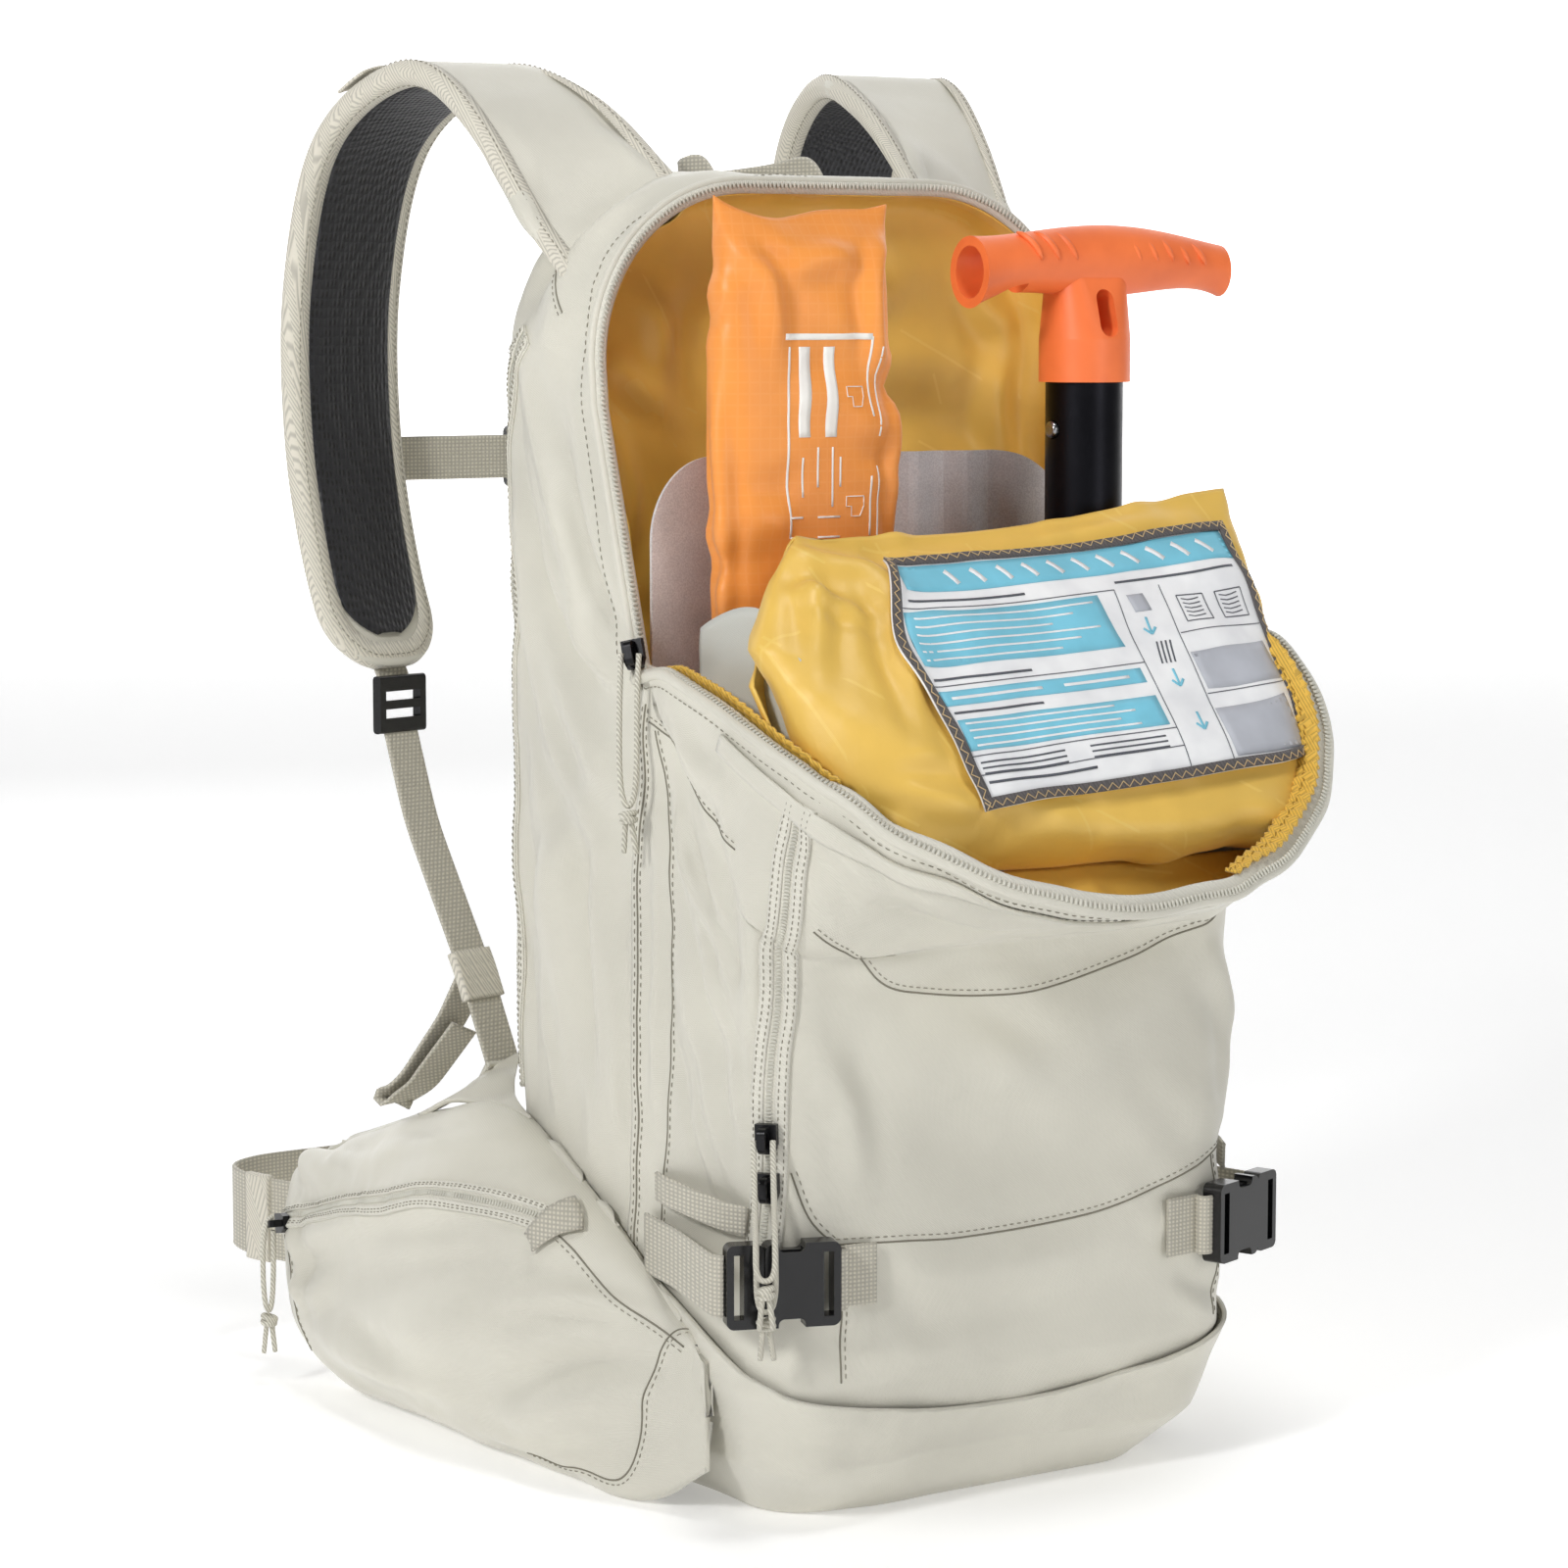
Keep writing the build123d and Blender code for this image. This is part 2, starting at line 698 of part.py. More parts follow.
def place_slider(base, up, out):
    """A slider at a point of the cloth, with up along the zip and out square to it."""
    up = Vector(*up).normalized()
    out = Vector(*out).normalized()
    return make_slider().moved(Plane(origin=base, x_dir=up, z_dir=out).location)


def bridge_hole(base, out):
    """The middle of the hole in a placed slider's bridge."""
    return Vector(*base) + Vector(*out).normalized() * SLIDER_HOLE


def strand(hole, sideways, side, outwards, falls):
    """Points down one strand of a pull: each fall is a drop and a reach outwards."""
    edge = hole + sideways * (side * PULL_SPREAD / 2)
    return [edge + outwards * reach - Vector(0, 0, drop) for drop, reach in falls]


def bend_radii(points):
    """Bend radii of a cord through the points, as large as its runs allow."""
    radii = []
    for before, corner, after in zip(points, points[1:], points[2:]):
        arriving = corner - before
        leaving = after - corner
        turn = radians(arriving.get_angle(leaving))
        radii.append(0.45 * min(arriving.length, leaving.length) / tan(turn / 2))
    return radii


def make_pull(name, points, knot, sideways):
    """A zip pull: a cord through the points, with its knot and two tails below."""
    radii = bend_radii(points)
    print(name, "bend radii", [round(radius, 2) for radius in radii])
    with BuildPart() as pull:
        with BuildLine() as path:
            FilletPolyline(*points, radius=radii)
        with BuildSketch(Plane(origin=path.line @ 0, z_dir=path.line % 0)):
            Circle(PULL_CORD / 2)
        sweep()
    top = knot - Vector(0, 0, PULL_CORD / 2 + 0.05)
    bottom = top - Vector(0, 0, KNOT_HEIGHT)
    with BuildPart() as tied:
        with BuildSketch(Plane(origin=top, x_dir=sideways, z_dir=(0, 0, -1))):
            Circle(KNOT_RADIUS)
        extrude(amount=KNOT_HEIGHT)
        fillet(tied.edges(), 1.8)
        with BuildSketch(Plane(origin=bottom, x_dir=sideways, z_dir=(0, 0, -1))):
            with Locations((-TAIL_APART / 2, 0), (TAIL_APART / 2, 0)):
                Circle(TAIL_RADIUS)
        extrude(amount=TAIL_LENGTH)
    return Compound(children=[*pull.part.solids(), *tied.part.solids()])


def hanging_pull(name, base, out, outwards, falls):
    """A pull whose two strands hang beside the bridge of an upright zip's slider."""
    outwards = Vector(*outwards).normalized()
    sideways = Vector(0, 0, 1).cross(outwards)
    hole = bridge_hole(base, out)
    down = strand(hole, sideways, -1, outwards, falls)
    up = strand(hole, sideways, 1, outwards, falls)[::-1]
    return make_pull(name, [*down, *up], (down[-1] + up[0]) * 0.5, sideways)


def side_pull(name, base, out, drop):
    """A pull whose loop passes through the bridge of a level zip's slider."""
    outwards = Vector(*out).normalized()
    hole = bridge_hole(base, out)
    reach = outwards * 5.2
    points = [
        hole + Vector(0, 0, 3.1),
        hole + Vector(0, 0, 3.1) + reach,
        hole + Vector(0, 0, -drop) + reach,
        hole + Vector(0, 0, -drop),
        hole + Vector(0, 0, -3.1),
    ]
    return make_pull(name, points, (points[2] + points[3]) * 0.5, outwards)


# ---------------------------------------------------------------- avalanche tools

def make_shaft():
    """Shovel shaft with its lock-button hole."""
    with BuildPart() as shaft:
        with BuildSketch(Plane.XY.offset(SHAFT_LOW)):
            with Locations((SHAFT_X, SHAFT_Y)):
                Circle(SHAFT_RADIUS)
                Circle(SHAFT_RADIUS - SHAFT_WALL, mode=Mode.SUBTRACT)
        extrude(amount=SHAFT_TOP - SHAFT_LOW)
        with BuildSketch(Plane.YZ.offset(SHAFT_X)):
            with Locations((SHAFT_Y, BUTTON_Z)):
                Circle(BUTTON_RADIUS)
        extrude(amount=-SHAFT_RADIUS - 5, mode=Mode.SUBTRACT)
    return shaft.part


def make_button():
    """Lock button that stands out of the shaft."""
    with BuildPart() as button:
        with BuildSketch(Plane.YZ.offset(SHAFT_X - SHAFT_RADIUS - 2)):
            with Locations((SHAFT_Y, BUTTON_Z)):
                Circle(BUTTON_RADIUS - GAP)
        extrude(amount=9)
        fillet(button.faces().sort_by(Axis.X)[0].edges(), 1.4)
    return button.part


def make_grip():
    """T-shaped grip with its neck, slot, open end and grooves."""
    with BuildPart() as grip:
        for x, height, half_height, half_depth in GRIP_SECTIONS:
            with BuildSketch(Plane.YZ.offset(x)):
                with Locations((SHAFT_Y, height)):
                    Ellipse(half_depth, half_height)
        loft()
        with BuildSketch(Plane.XY.offset(505)):
            with Locations((SHAFT_X, SHAFT_Y)):
                RectangleRounded(34, 22, 8)
        with BuildSketch(Plane.XY.offset(478)):
            with Locations((SHAFT_X, SHAFT_Y)):
                RectangleRounded(38, 38, 18)
        loft()
        with BuildSketch(Plane.XY.offset(478)):
            with Locations((SHAFT_X, SHAFT_Y)):
                RectangleRounded(38, 38, 18)
        extrude(amount=-18)
        with BuildSketch(Plane.XY.offset(460)):
            with Locations((SHAFT_X, SHAFT_Y)):
                Circle(SHAFT_RADIUS)
        extrude(amount=SHAFT_TOP - 460, mode=Mode.SUBTRACT)
        with BuildSketch(Plane.YZ.offset(GRIP_SECTIONS[0][0])):
            with Locations((SHAFT_Y, GRIP_SECTIONS[0][1])):
                Ellipse(10, 11)
        extrude(amount=24, mode=Mode.SUBTRACT)
        with BuildSketch(Plane.XZ.offset(-SHAFT_Y)):
            with Locations((SHAFT_X, 489)):
                SlotOverall(20, 9, rotation=90)
        extrude(amount=30, both=True, mode=Mode.SUBTRACT)
    return grip.part


def blade_curve(offset_y):
    """The blade's ribbed section as plan points, moved by the given amount."""
    steps = 90
    points = []
    for step in range(steps + 1):
        share = step / steps
        x = BLADE_LEFT + share * (BLADE_RIGHT - BLADE_LEFT)
        bow = 14 * sin(radians(180 * share))
        rib = BLADE_RIB * (1 - cos(radians(360 * 5 * (share - 0.3) / 0.6))) / 2
        if not 0.3 < share < 0.9:
            rib = 0
        points.append((x, BLADE_Y + bow + rib + offset_y))
    return points


def make_blade():
    """Shovel blade: a bowed sheet with upright ribs and rounded corners."""
    with BuildPart() as blade:
        with BuildSketch(Plane.XY.offset(BLADE_LOW)):
            with BuildLine():
                Polyline(*blade_curve(0), *blade_curve(BLADE_THICK)[::-1], close=True)
            make_face()
        extrude(amount=BLADE_TOP - BLADE_LOW)
        with BuildSketch(Plane.XZ) as outline:
            with Locations(((BLADE_LEFT + BLADE_RIGHT) / 2, (BLADE_LOW + BLADE_TOP) / 2)):
                Rectangle(BLADE_RIGHT - BLADE_LEFT, BLADE_TOP - BLADE_LOW)
            fillet(outline.vertices(), 34)
        extrude(amount=FAR, both=True, mode=Mode.INTERSECT)
    return blade.part


def make_probe_bag():
    """Flat bag that holds the folded probe, open inside."""
    with BuildPart() as bag:
        with BuildSketch(Plane.XY.offset(PROBE_LOW)):
            with Locations((PROBE_X, PROBE_Y)):
                RectangleRounded(PROBE_WIDTH, PROBE_DEPTH, 10)
        extrude(amount=PROBE_TOP - PROBE_LOW)
        fillet(bag.faces().sort_by(Axis.Z)[0].edges(), 4)
        fillet(bag.faces().sort_by(Axis.Z)[-1].edges(), 3)
        with BuildSketch(Plane.XY.offset(PROBE_LOW + 1.2)):
            with Locations((PROBE_X, PROBE_Y)):
                RectangleRounded(PROBE_WIDTH - 3, PROBE_DEPTH - 2.4, 8.8)
        extrude(amount=PROBE_TOP - PROBE_LOW - 2.4, mode=Mode.SUBTRACT)
    return bag.part


def make_probe_tubes():
    """Six folded probe segments side by side."""
    with BuildPart() as tubes:
        with BuildSketch(Plane.XY.offset(PROBE_LOW + 8)):
            with Locations((PROBE_X, PROBE_Y)):
                with GridLocations(13.0, 10.6, 3, 2):
                    Circle(5.0)
                    Circle(4.2, mode=Mode.SUBTRACT)
        extrude(amount=372)
    return tubes.part


# ---------------------------------------------------------------- write everything

save(make_base_cup(), "base_panel")
save(make_main_shell(), "main_shell")
save(make_front_shell(), "front_shell")
save(make_tool_lining(), "tool_lining")
save(make_tool_sleeve(), "tool_sleeve")
save(make_arch_zip(), "arch_zip")
save(make_flap_rim(), "flap_rim")
save(make_flap_gusset(), "flap_gusset")
save(make_divider_pouch(), "divider_pouch")
card_size = (CARD_WIDTH - 2 * CARD_BINDING, CARD_HEIGHT - 2 * CARD_BINDING)
save(make_card(*card_size, CARD_THICK), "divider_card")
save(make_card_binding(), "card_binding")
save(make_back_pad(), "back_pad")
save(make_frame_sheet(), "frame_sheet")
save(make_stays(), "frame_stays")
save(less(make_front_panels(), both_sides(make_side_keepers())), "front_panels")
save(make_front_zip(), "front_zip")
save(make_haul_loop(), "haul_loop")

save_pair(make_wing(), "wing")
save(both_sides(make_belt_zip()), "belt_zips")
buckle_pull = (-1, 0, 0)
buckle_mouth = -8.0
socket_end = buckle_mouth - FEMALE_LENGTH
plug_end = buckle_mouth + MALE_LENGTH + GAP
belt_mouth = (buckle_mouth, BELT_Y, BELT_Z)
save(make_belt_web(socket_end), "belt_web_left")
save(mirrored(make_belt_web(-plug_end)), "belt_web_right")
save(place(make_buckle_female(BELT_WEB), belt_mouth, buckle_pull), "belt_socket")
save(place(make_buckle_male(BELT_WEB), belt_mouth, buckle_pull), "belt_plug")

save_pair(strap_band(STRAP_WIDTH, STRAP_THICK, 0, 4.6), "strap")
mesh_sink = (STRAP_THICK + MESH_THICK) / 2
save(both_sides(strap_band(STRAP_WIDTH - 14, MESH_THICK, mesh_sink, 0.9)), "strap_mesh")
save(both_sides(make_ladder_lock()), "ladder_locks")
save_pair(make_adjuster_web(), "adjuster_web")
save(both_sides(make_anchor()), "strap_anchors")
sternum_y = strap_point(166 + STRAP_THICK / 2 + WEB_THICK, STERNUM_Z, 28).Y
sternum_mouth = (buckle_mouth, sternum_y, STERNUM_Z)
save(make_sternum_web(socket_end), "sternum_web_left")
save(mirrored(make_sternum_web(-plug_end)), "sternum_web_right")
save(place(make_buckle_female(STERNUM_WEB), sternum_mouth, buckle_pull), "sternum_socket")
save(place(make_buckle_male(STERNUM_WEB), sternum_mouth, buckle_pull), "sternum_plug")

save_pair(make_side_web(), "side_web")
save(both_sides(make_side_keepers()), "side_keepers")
save(both_sides(place(make_buckle_female(SIDE_WEB), SIDE_MOUTH, SIDE_PULL)), "side_sockets")
save_pair(place(make_buckle_male(SIDE_WEB), SIDE_MOUTH, SIDE_PULL), "side_plug")

save(make_shaft(), "shovel_shaft")
save(make_button(), "shaft_button")
save(make_grip(), "shovel_grip")
save(make_blade(), "shovel_blade")
save(make_probe_bag(), "probe_bag")
save(make_probe_tubes(), "probe_tubes")

arch_base = (-127.2, -42.2, 351)
arch_out = (-0.77, -0.61, 0.177)
arch_falls = ((0, 0), (14, 2.6), (62, 3.0))
save_pair(place_slider(arch_base, (0, 0.278, 0.96), arch_out), "arch_slider")
save_pair(hanging_pull("arch_pull", arch_base, arch_out, (-0.77, -0.61, 0), arch_falls), "arch_pull")

corner_up = (-0.023, 0.011, 1)
corner_out = (-0.788, -0.616, 0)
over_buckle = (-0.5, -0.866, 0)
upper_base = (-116.7, -125.5, 164)
upper_falls = ((0, 0), (18, 8.2), (36, 19.5), (52, 20))
save(place_slider(upper_base, corner_up, corner_out), "front_slider_upper")
upper_pull = hanging_pull("front_pull_upper", upper_base, corner_out, over_buckle, upper_falls)
save(upper_pull, "front_pull_upper")
lower_base = (-116.2, -125.7, 144)
lower_falls = ((0, 0), (21, 13.2), (46, 13.6))
save(place_slider(lower_base, corner_up, corner_out), "front_slider_lower")
lower_pull = hanging_pull("front_pull_lower", lower_base, corner_out, over_buckle, lower_falls)
save(lower_pull, "front_pull_lower")

belt_base = (-168.0, 202, 75.6)
belt_out = (-0.992, 0.124, 0)
save_pair(place_slider(belt_base, (0.121, 0.969, -0.217), belt_out), "belt_slider")
save_pair(side_pull("belt_pull", belt_base, belt_out, 40), "belt_pull")
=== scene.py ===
"""Looks of an open ski-touring backpack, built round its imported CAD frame.

Lengths are millimetres in this file's own arrays, and metres in Blender.
"""
import math

import bpy
import numpy as np
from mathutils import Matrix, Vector


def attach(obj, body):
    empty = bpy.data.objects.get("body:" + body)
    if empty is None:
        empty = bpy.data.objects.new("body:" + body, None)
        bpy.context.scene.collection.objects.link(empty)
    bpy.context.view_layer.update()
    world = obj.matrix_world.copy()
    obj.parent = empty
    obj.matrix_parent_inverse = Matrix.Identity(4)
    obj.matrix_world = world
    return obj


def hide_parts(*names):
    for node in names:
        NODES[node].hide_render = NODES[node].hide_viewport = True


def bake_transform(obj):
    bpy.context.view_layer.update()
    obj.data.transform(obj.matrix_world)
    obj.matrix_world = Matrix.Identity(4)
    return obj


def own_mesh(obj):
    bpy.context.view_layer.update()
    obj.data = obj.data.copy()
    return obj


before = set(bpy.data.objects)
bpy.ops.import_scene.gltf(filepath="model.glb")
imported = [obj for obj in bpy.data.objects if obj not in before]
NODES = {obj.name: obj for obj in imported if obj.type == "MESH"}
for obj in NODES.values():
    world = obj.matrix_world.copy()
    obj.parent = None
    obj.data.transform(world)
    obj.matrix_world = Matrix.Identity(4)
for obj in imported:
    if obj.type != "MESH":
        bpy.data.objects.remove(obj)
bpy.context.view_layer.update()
MM = 0.001

# ---------------------------------------------------------------- driving dimensions

PACK_FRONT = -133          # Y of the closed front wall
PACK_BACK = 83             # Y of the back panel
CORNER = 26                # radius of the body's upright edges
FRONT_TOP = 235            # height where the flap folds out of the front wall
TOP = 545                  # top of the body
TOP_CORNER = 78            # radius of the body's upper corners
HINGE = (-41, 336)         # (Y, Z) of the flap's hinge line
ARCH_LINE = ((-41, 336), (-8, 450), (0, 550))   # (Y, Z) of the compartment's zip
LINING_Y = 20              # back wall of the tool compartment


FINE_STITCH = {"length": 2.3, "gap": 1.3, "radius": 0.26}   # mm
BELT_WEB = 38              # widths of the webbing
SIDE_WEB = 25
STRAP_WEB = 20
KEEPER_WEB = 12


# ---------------------------------------------------------------- camera

def aim(thing, place, target):
    """Put a camera or light at place, looking at target."""
    thing.location = place
    thing.rotation_mode = "QUATERNION"
    thing.rotation_quaternion = (Vector(target) - Vector(place)).to_track_quat("-Z", "Y")


def make_camera():
    """A long lens, a third of a turn to the left of the pack's front."""
    azimuth = math.radians(-33)
    elevation = math.radians(6.5)
    distance = 1.8
    target = Vector((-0.0377, -0.0155, 0.290))
    back = Vector((
        math.sin(azimuth) * math.cos(elevation),
        -math.cos(azimuth) * math.cos(elevation),
        math.sin(elevation),
    ))
    data = bpy.data.cameras.new("camera")
    data.lens = 97.2
    data.sensor_width = 36
    data.clip_start = 0.05
    data.clip_end = 60
    camera = bpy.data.objects.new("camera", data)
    bpy.context.scene.collection.objects.link(camera)
    aim(camera, target + back * distance, target)
    bpy.context.scene.camera = camera


make_camera()

# ---------------------------------------------------------------- materials


def rgb(red, green, blue):
    """Linear colour of a 0-255 display colour."""
    def linear(value):
        value /= 255
        return value / 12.92 if value <= 0.04045 else ((value + 0.055) / 1.055) ** 2.4
    return (linear(red), linear(green), linear(blue), 1)


class Paint:
    """A node material with a Principled shader and short calls to add nodes."""

    def __init__(self, name, roughness=0.6, sheen=0.0, metallic=0.0, coat=0.0, specular=0.5):
        self.material = bpy.data.materials.new(name)
        self.material.use_nodes = True
        self.tree = self.material.node_tree
        self.shader = self.tree.nodes["Principled BSDF"]
        self.set("Roughness", roughness)
        self.set("Metallic", metallic)
        self.set("Sheen Weight", sheen)
        self.set("Sheen Roughness", 0.4)
        self.set("Coat Weight", coat)
        self.set("Specular IOR Level", specular)
        self.place = self.add("ShaderNodeTexCoord").outputs["Object"]

    def set(self, socket, value):
        self.shader.inputs[socket].default_value = value

    def add(self, kind, **settings):
        node = self.tree.nodes.new(kind)
        for key, value in settings.items():
            setattr(node, key, value)
        return node

    def link(self, source, target):
        self.tree.links.new(source, target)
        return target.node

    def stretch(self, scale, turn=(0, 0, 0)):
        """Object coordinates, scaled along each axis and turned."""
        mapping = self.add("ShaderNodeMapping")
        mapping.inputs["Scale"].default_value = scale
        mapping.inputs["Rotation"].default_value = turn
        self.link(self.place, mapping.inputs["Vector"])
        return mapping.outputs["Vector"]

    def noise(self, scale, detail=3, vector=None, rough=0.5):
        node = self.add("ShaderNodeTexNoise")
        node.inputs["Scale"].default_value = scale
        node.inputs["Detail"].default_value = detail
        node.inputs["Roughness"].default_value = rough
        self.link(self.place if vector is None else vector, node.inputs["Vector"])
        return node.outputs["Fac"]

    def wave(self, scale, turn=(0, 0, 0), distortion=0.0, direction="X", profile="SIN"):
        """Parallel bands, scale of them to the metre."""
        node = self.add("ShaderNodeTexWave", bands_direction=direction, wave_profile=profile)
        node.inputs["Scale"].default_value = scale / 3.1831
        node.inputs["Distortion"].default_value = distortion
        node.inputs["Detail"].default_value = 1
        node.inputs["Detail Scale"].default_value = 0.02
        self.link(self.stretch((1, 1, 1), turn), node.inputs["Vector"])
        return node.outputs["Fac"]

    def math(self, operation, first, second=0.5):
        node = self.add("ShaderNodeMath", operation=operation)
        for socket, value in zip(node.inputs, (first, second)):
            if isinstance(value, (int, float)):
                socket.default_value = value
            else:
                self.link(value, socket)
        return node.outputs[0]

    def ramp(self, source, stops):
        """Colours along a value, as (place, colour) pairs."""
        node = self.add("ShaderNodeValToRGB")
        elements = node.color_ramp.elements
        while len(elements) < len(stops):
            elements.new(0.5)
        for element, (place, colour) in zip(elements, stops):
            element.position = place
            element.color = colour
        self.link(source, node.inputs["Fac"])
        return node.outputs["Color"]

    def mix(self, factor, first, second, blend="MIX"):
        """Mix two colours, given as sockets or as constants."""
        node = self.add("ShaderNodeMix", data_type="RGBA", blend_type=blend)
        for socket, value in ((node.inputs[0], factor), (node.inputs[6], first), (node.inputs[7], second)):
            if isinstance(value, (int, float, tuple)):
                socket.default_value = value
            else:
                self.link(value, socket)
        return node.outputs[2]

    def colour(self, source):
        if isinstance(source, tuple):
            self.set("Base Color", source)
        else:
            self.link(source, self.shader.inputs["Base Color"])
        return self

    def vary_roughness(self, source, low, high):
        node = self.add("ShaderNodeMapRange")
        node.inputs["To Min"].default_value = low
        node.inputs["To Max"].default_value = high
        self.link(source, node.inputs["Value"])
        self.link(node.outputs["Result"], self.shader.inputs["Roughness"])
        return self

    def bump(self, *layers):
        """Stack of (height socket, depth in mm, strength) bumps."""
        below = None
        for height, depth, strength in layers:
            node = self.add("ShaderNodeBump")
            node.inputs["Strength"].default_value = strength
            node.inputs["Distance"].default_value = depth * MM
            self.link(height, node.inputs["Height"])
            if below is not None:
                self.link(below, node.inputs["Normal"])
            below = node.outputs["Normal"]
        self.link(below, self.shader.inputs["Normal"])
        return self


def tones(base, dark=0.9, light=1.06):
    """A darker and a lighter tone of a display colour."""
    return (
        rgb(*(min(255, value * dark) for value in base)),
        rgb(*(min(255, value * light) for value in base)),
    )


def cloth_paint(name, base, weave=0.75, roughness=0.5, sheen=0.25, twill=0.35, soft=0.25):
    """Fine twill cloth: diagonal ribs, cross threads, slight tone changes and crumple."""
    paint = Paint(name, roughness=roughness, sheen=sheen, specular=0.45)
    dark, light = tones(base, 0.95, 1.03)
    broad = paint.noise(9, 4)
    ribs = paint.wave(1000 / weave, (0.62, 0.62, 0.79))
    threads = paint.wave(1000 / weave * 1.3, (-0.6, 0.5, -0.7))
    body = paint.ramp(broad, ((0.3, dark), (0.7, light)))
    shaded = paint.mix(0.10, body, paint.ramp(ribs, ((0, tones(base, 0.72)[0]), (1, light))))
    paint.colour(shaded)
    paint.vary_roughness(paint.noise(160, 2), roughness - 0.05, roughness + 0.08)
    weave_height = paint.math("ADD", ribs, threads)
    crumple = paint.noise(38, 5, rough=0.55)
    return paint.bump((crumple, 1.6, soft), (weave_height, 0.12, twill)).material


def web_paint(name, base, pitch=1.7):
    """Ribbed webbing with rows of raised threads."""
    paint = Paint(name, roughness=0.7, sheen=0.2)
    dark, light = tones(base, 0.84, 1.06)
    rows = paint.wave(1000 / pitch, direction="Z")
    cross = paint.wave(1000 / pitch, (0, 0, 0.55))
    grid = paint.math("MULTIPLY", rows, cross)
    paint.colour(paint.ramp(grid, ((0, dark), (0.35, tones(base, 0.95)[0]), (1, light))))
    return paint.bump((grid, 0.5, 0.55), (paint.noise(300, 2), 0.2, 0.2)).material


def herringbone_paint(name, base):
    """Binding tape woven in short opposed diagonals."""
    paint = Paint(name, roughness=0.72, sheen=0.2)
    dark, light = tones(base, 0.86, 1.03)
    left = paint.wave(820, (0.5, 0.3, 0.8))
    right = paint.wave(820, (-0.5, -0.3, -0.8))
    swap = paint.math("GREATER_THAN", paint.wave(150, (0.9, 0, 0.2)), 0.5)
    ribs = paint.mix(swap, left, right)
    paint.colour(paint.ramp(ribs, ((0, dark), (0.6, light))))
    return paint.bump((ribs, 0.25, 0.5)).material


def lining_paint():
    """Ochre lining, smooth and a little shiny, with faint crossed strokes."""
    base = (238, 196, 94)
    paint = Paint("lining_cloth", roughness=0.42, sheen=0.15, specular=0.5)
    dark, light = tones(base, 0.93, 1.04)
    body = paint.ramp(paint.noise(11, 4), ((0.3, dark), (0.7, light)))
    strokes = None
    for turn, seed in (((0.3, 0.4, 0.2), 0.0), ((1.3, 0.2, 1.1), 0.4), ((0.2, 1.2, 2.0), 0.8)):
        line = paint.wave(26, turn, distortion=2.2 + seed)
        thin = paint.math("GREATER_THAN", line, 0.9975)
        cloud = paint.noise(34 + 9 * seed, 1, paint.stretch((1, 1, 1), turn))
        patch = paint.math("GREATER_THAN", cloud, 0.55)
        mark = paint.math("MULTIPLY", thin, patch)
        strokes = mark if strokes is None else paint.math("MAXIMUM", strokes, mark)
    faint = paint.math("MULTIPLY", strokes, 0.38)
    paint.colour(paint.mix(faint, body, rgb(244, 212, 120)))
    weave_height = paint.wave(1600, (0.6, 0.6, 0.8))
    return paint.bump((paint.noise(34, 5), 2.4, 0.5), (weave_height, 0.08, 0.25)).material


def ripstop_paint():
    """Bright orange ripstop with a fine raised grid."""
    paint = Paint("ripstop_cloth", roughness=0.42, sheen=0.2, specular=0.45)
    base = (255, 158, 72)
    dark, light = tones(base, 0.93, 1.03)
    body = paint.ramp(paint.noise(14, 4), ((0.3, dark), (0.7, light)))
    across = paint.math("GREATER_THAN", paint.wave(220, direction="X"), 0.93)
    along = paint.math("GREATER_THAN", paint.wave(220, direction="Z"), 0.93)
    grid = paint.math("MAXIMUM", across, along)
    paint.colour(paint.mix(paint.math("MULTIPLY", grid, 0.12), body, rgb(255, 184, 116)))
    return paint.bump((paint.noise(26, 5), 2.6, 0.5), (grid, 0.15, 0.3)).material


def mesh_paint():
    """Black spacer mesh: rows of small holes between shiny threads; the holes are painted near-black,
    painted shade of their depth.
    """
    paint = Paint("spacer_mesh", roughness=0.45, sheen=0.1, specular=0.5)
    cells = paint.add("ShaderNodeTexVoronoi", feature="F1")
    cells.inputs["Scale"].default_value = 330
    cells.inputs["Randomness"].default_value = 0.25
    paint.link(paint.stretch((1.25, 1.25, 0.72)), cells.inputs["Vector"])
    # the holes are painted darker than the black threads: painted shade inside them
    hole = paint.math("LESS_THAN", cells.outputs["Distance"], 0.34)
    paint.colour(paint.mix(hole, rgb(30, 30, 35), rgb(2, 2, 3)))
    return paint.bump((cells.outputs["Distance"], 1.2, 0.9)).material


def plastic_paint(name, base, roughness=0.3, grain=0.15):
    """Moulded plastic with a fine spark-eroded grain."""
    paint = Paint(name, roughness=roughness, specular=0.5)
    dark, light = tones(base, 0.94, 1.04)
    fine = paint.noise(900, 2)
    paint.colour(paint.ramp(paint.noise(40, 3), ((0.3, dark), (0.7, light))))
    paint.vary_roughness(paint.noise(120, 3), roughness - 0.06, roughness + 0.08)
    return paint.bump((fine, 0.12, grain)).material


def metal_paint(name, base, roughness, speckle=0.0, metallic=1.0):
    """Anodised or blasted metal, optionally with a pale speckle."""
    paint = Paint(name, roughness=roughness, metallic=metallic)
    dark, light = tones(base, 0.86, 1.1)
    grain = paint.noise(1400, 2)
    body = paint.ramp(paint.noise(22, 4), ((0.3, dark), (0.7, light)))
    if speckle:
        pale = paint.ramp(grain, ((0.35, dark), (0.5, rgb(*base)), (0.64, tones(base, 1, 1.35)[1])))
        body = paint.mix(speckle, body, pale)
    paint.colour(body)
    paint.vary_roughness(paint.noise(240, 3), roughness - 0.07, roughness + 0.1)
    return paint.bump((grain, 0.12, 0.3)).material


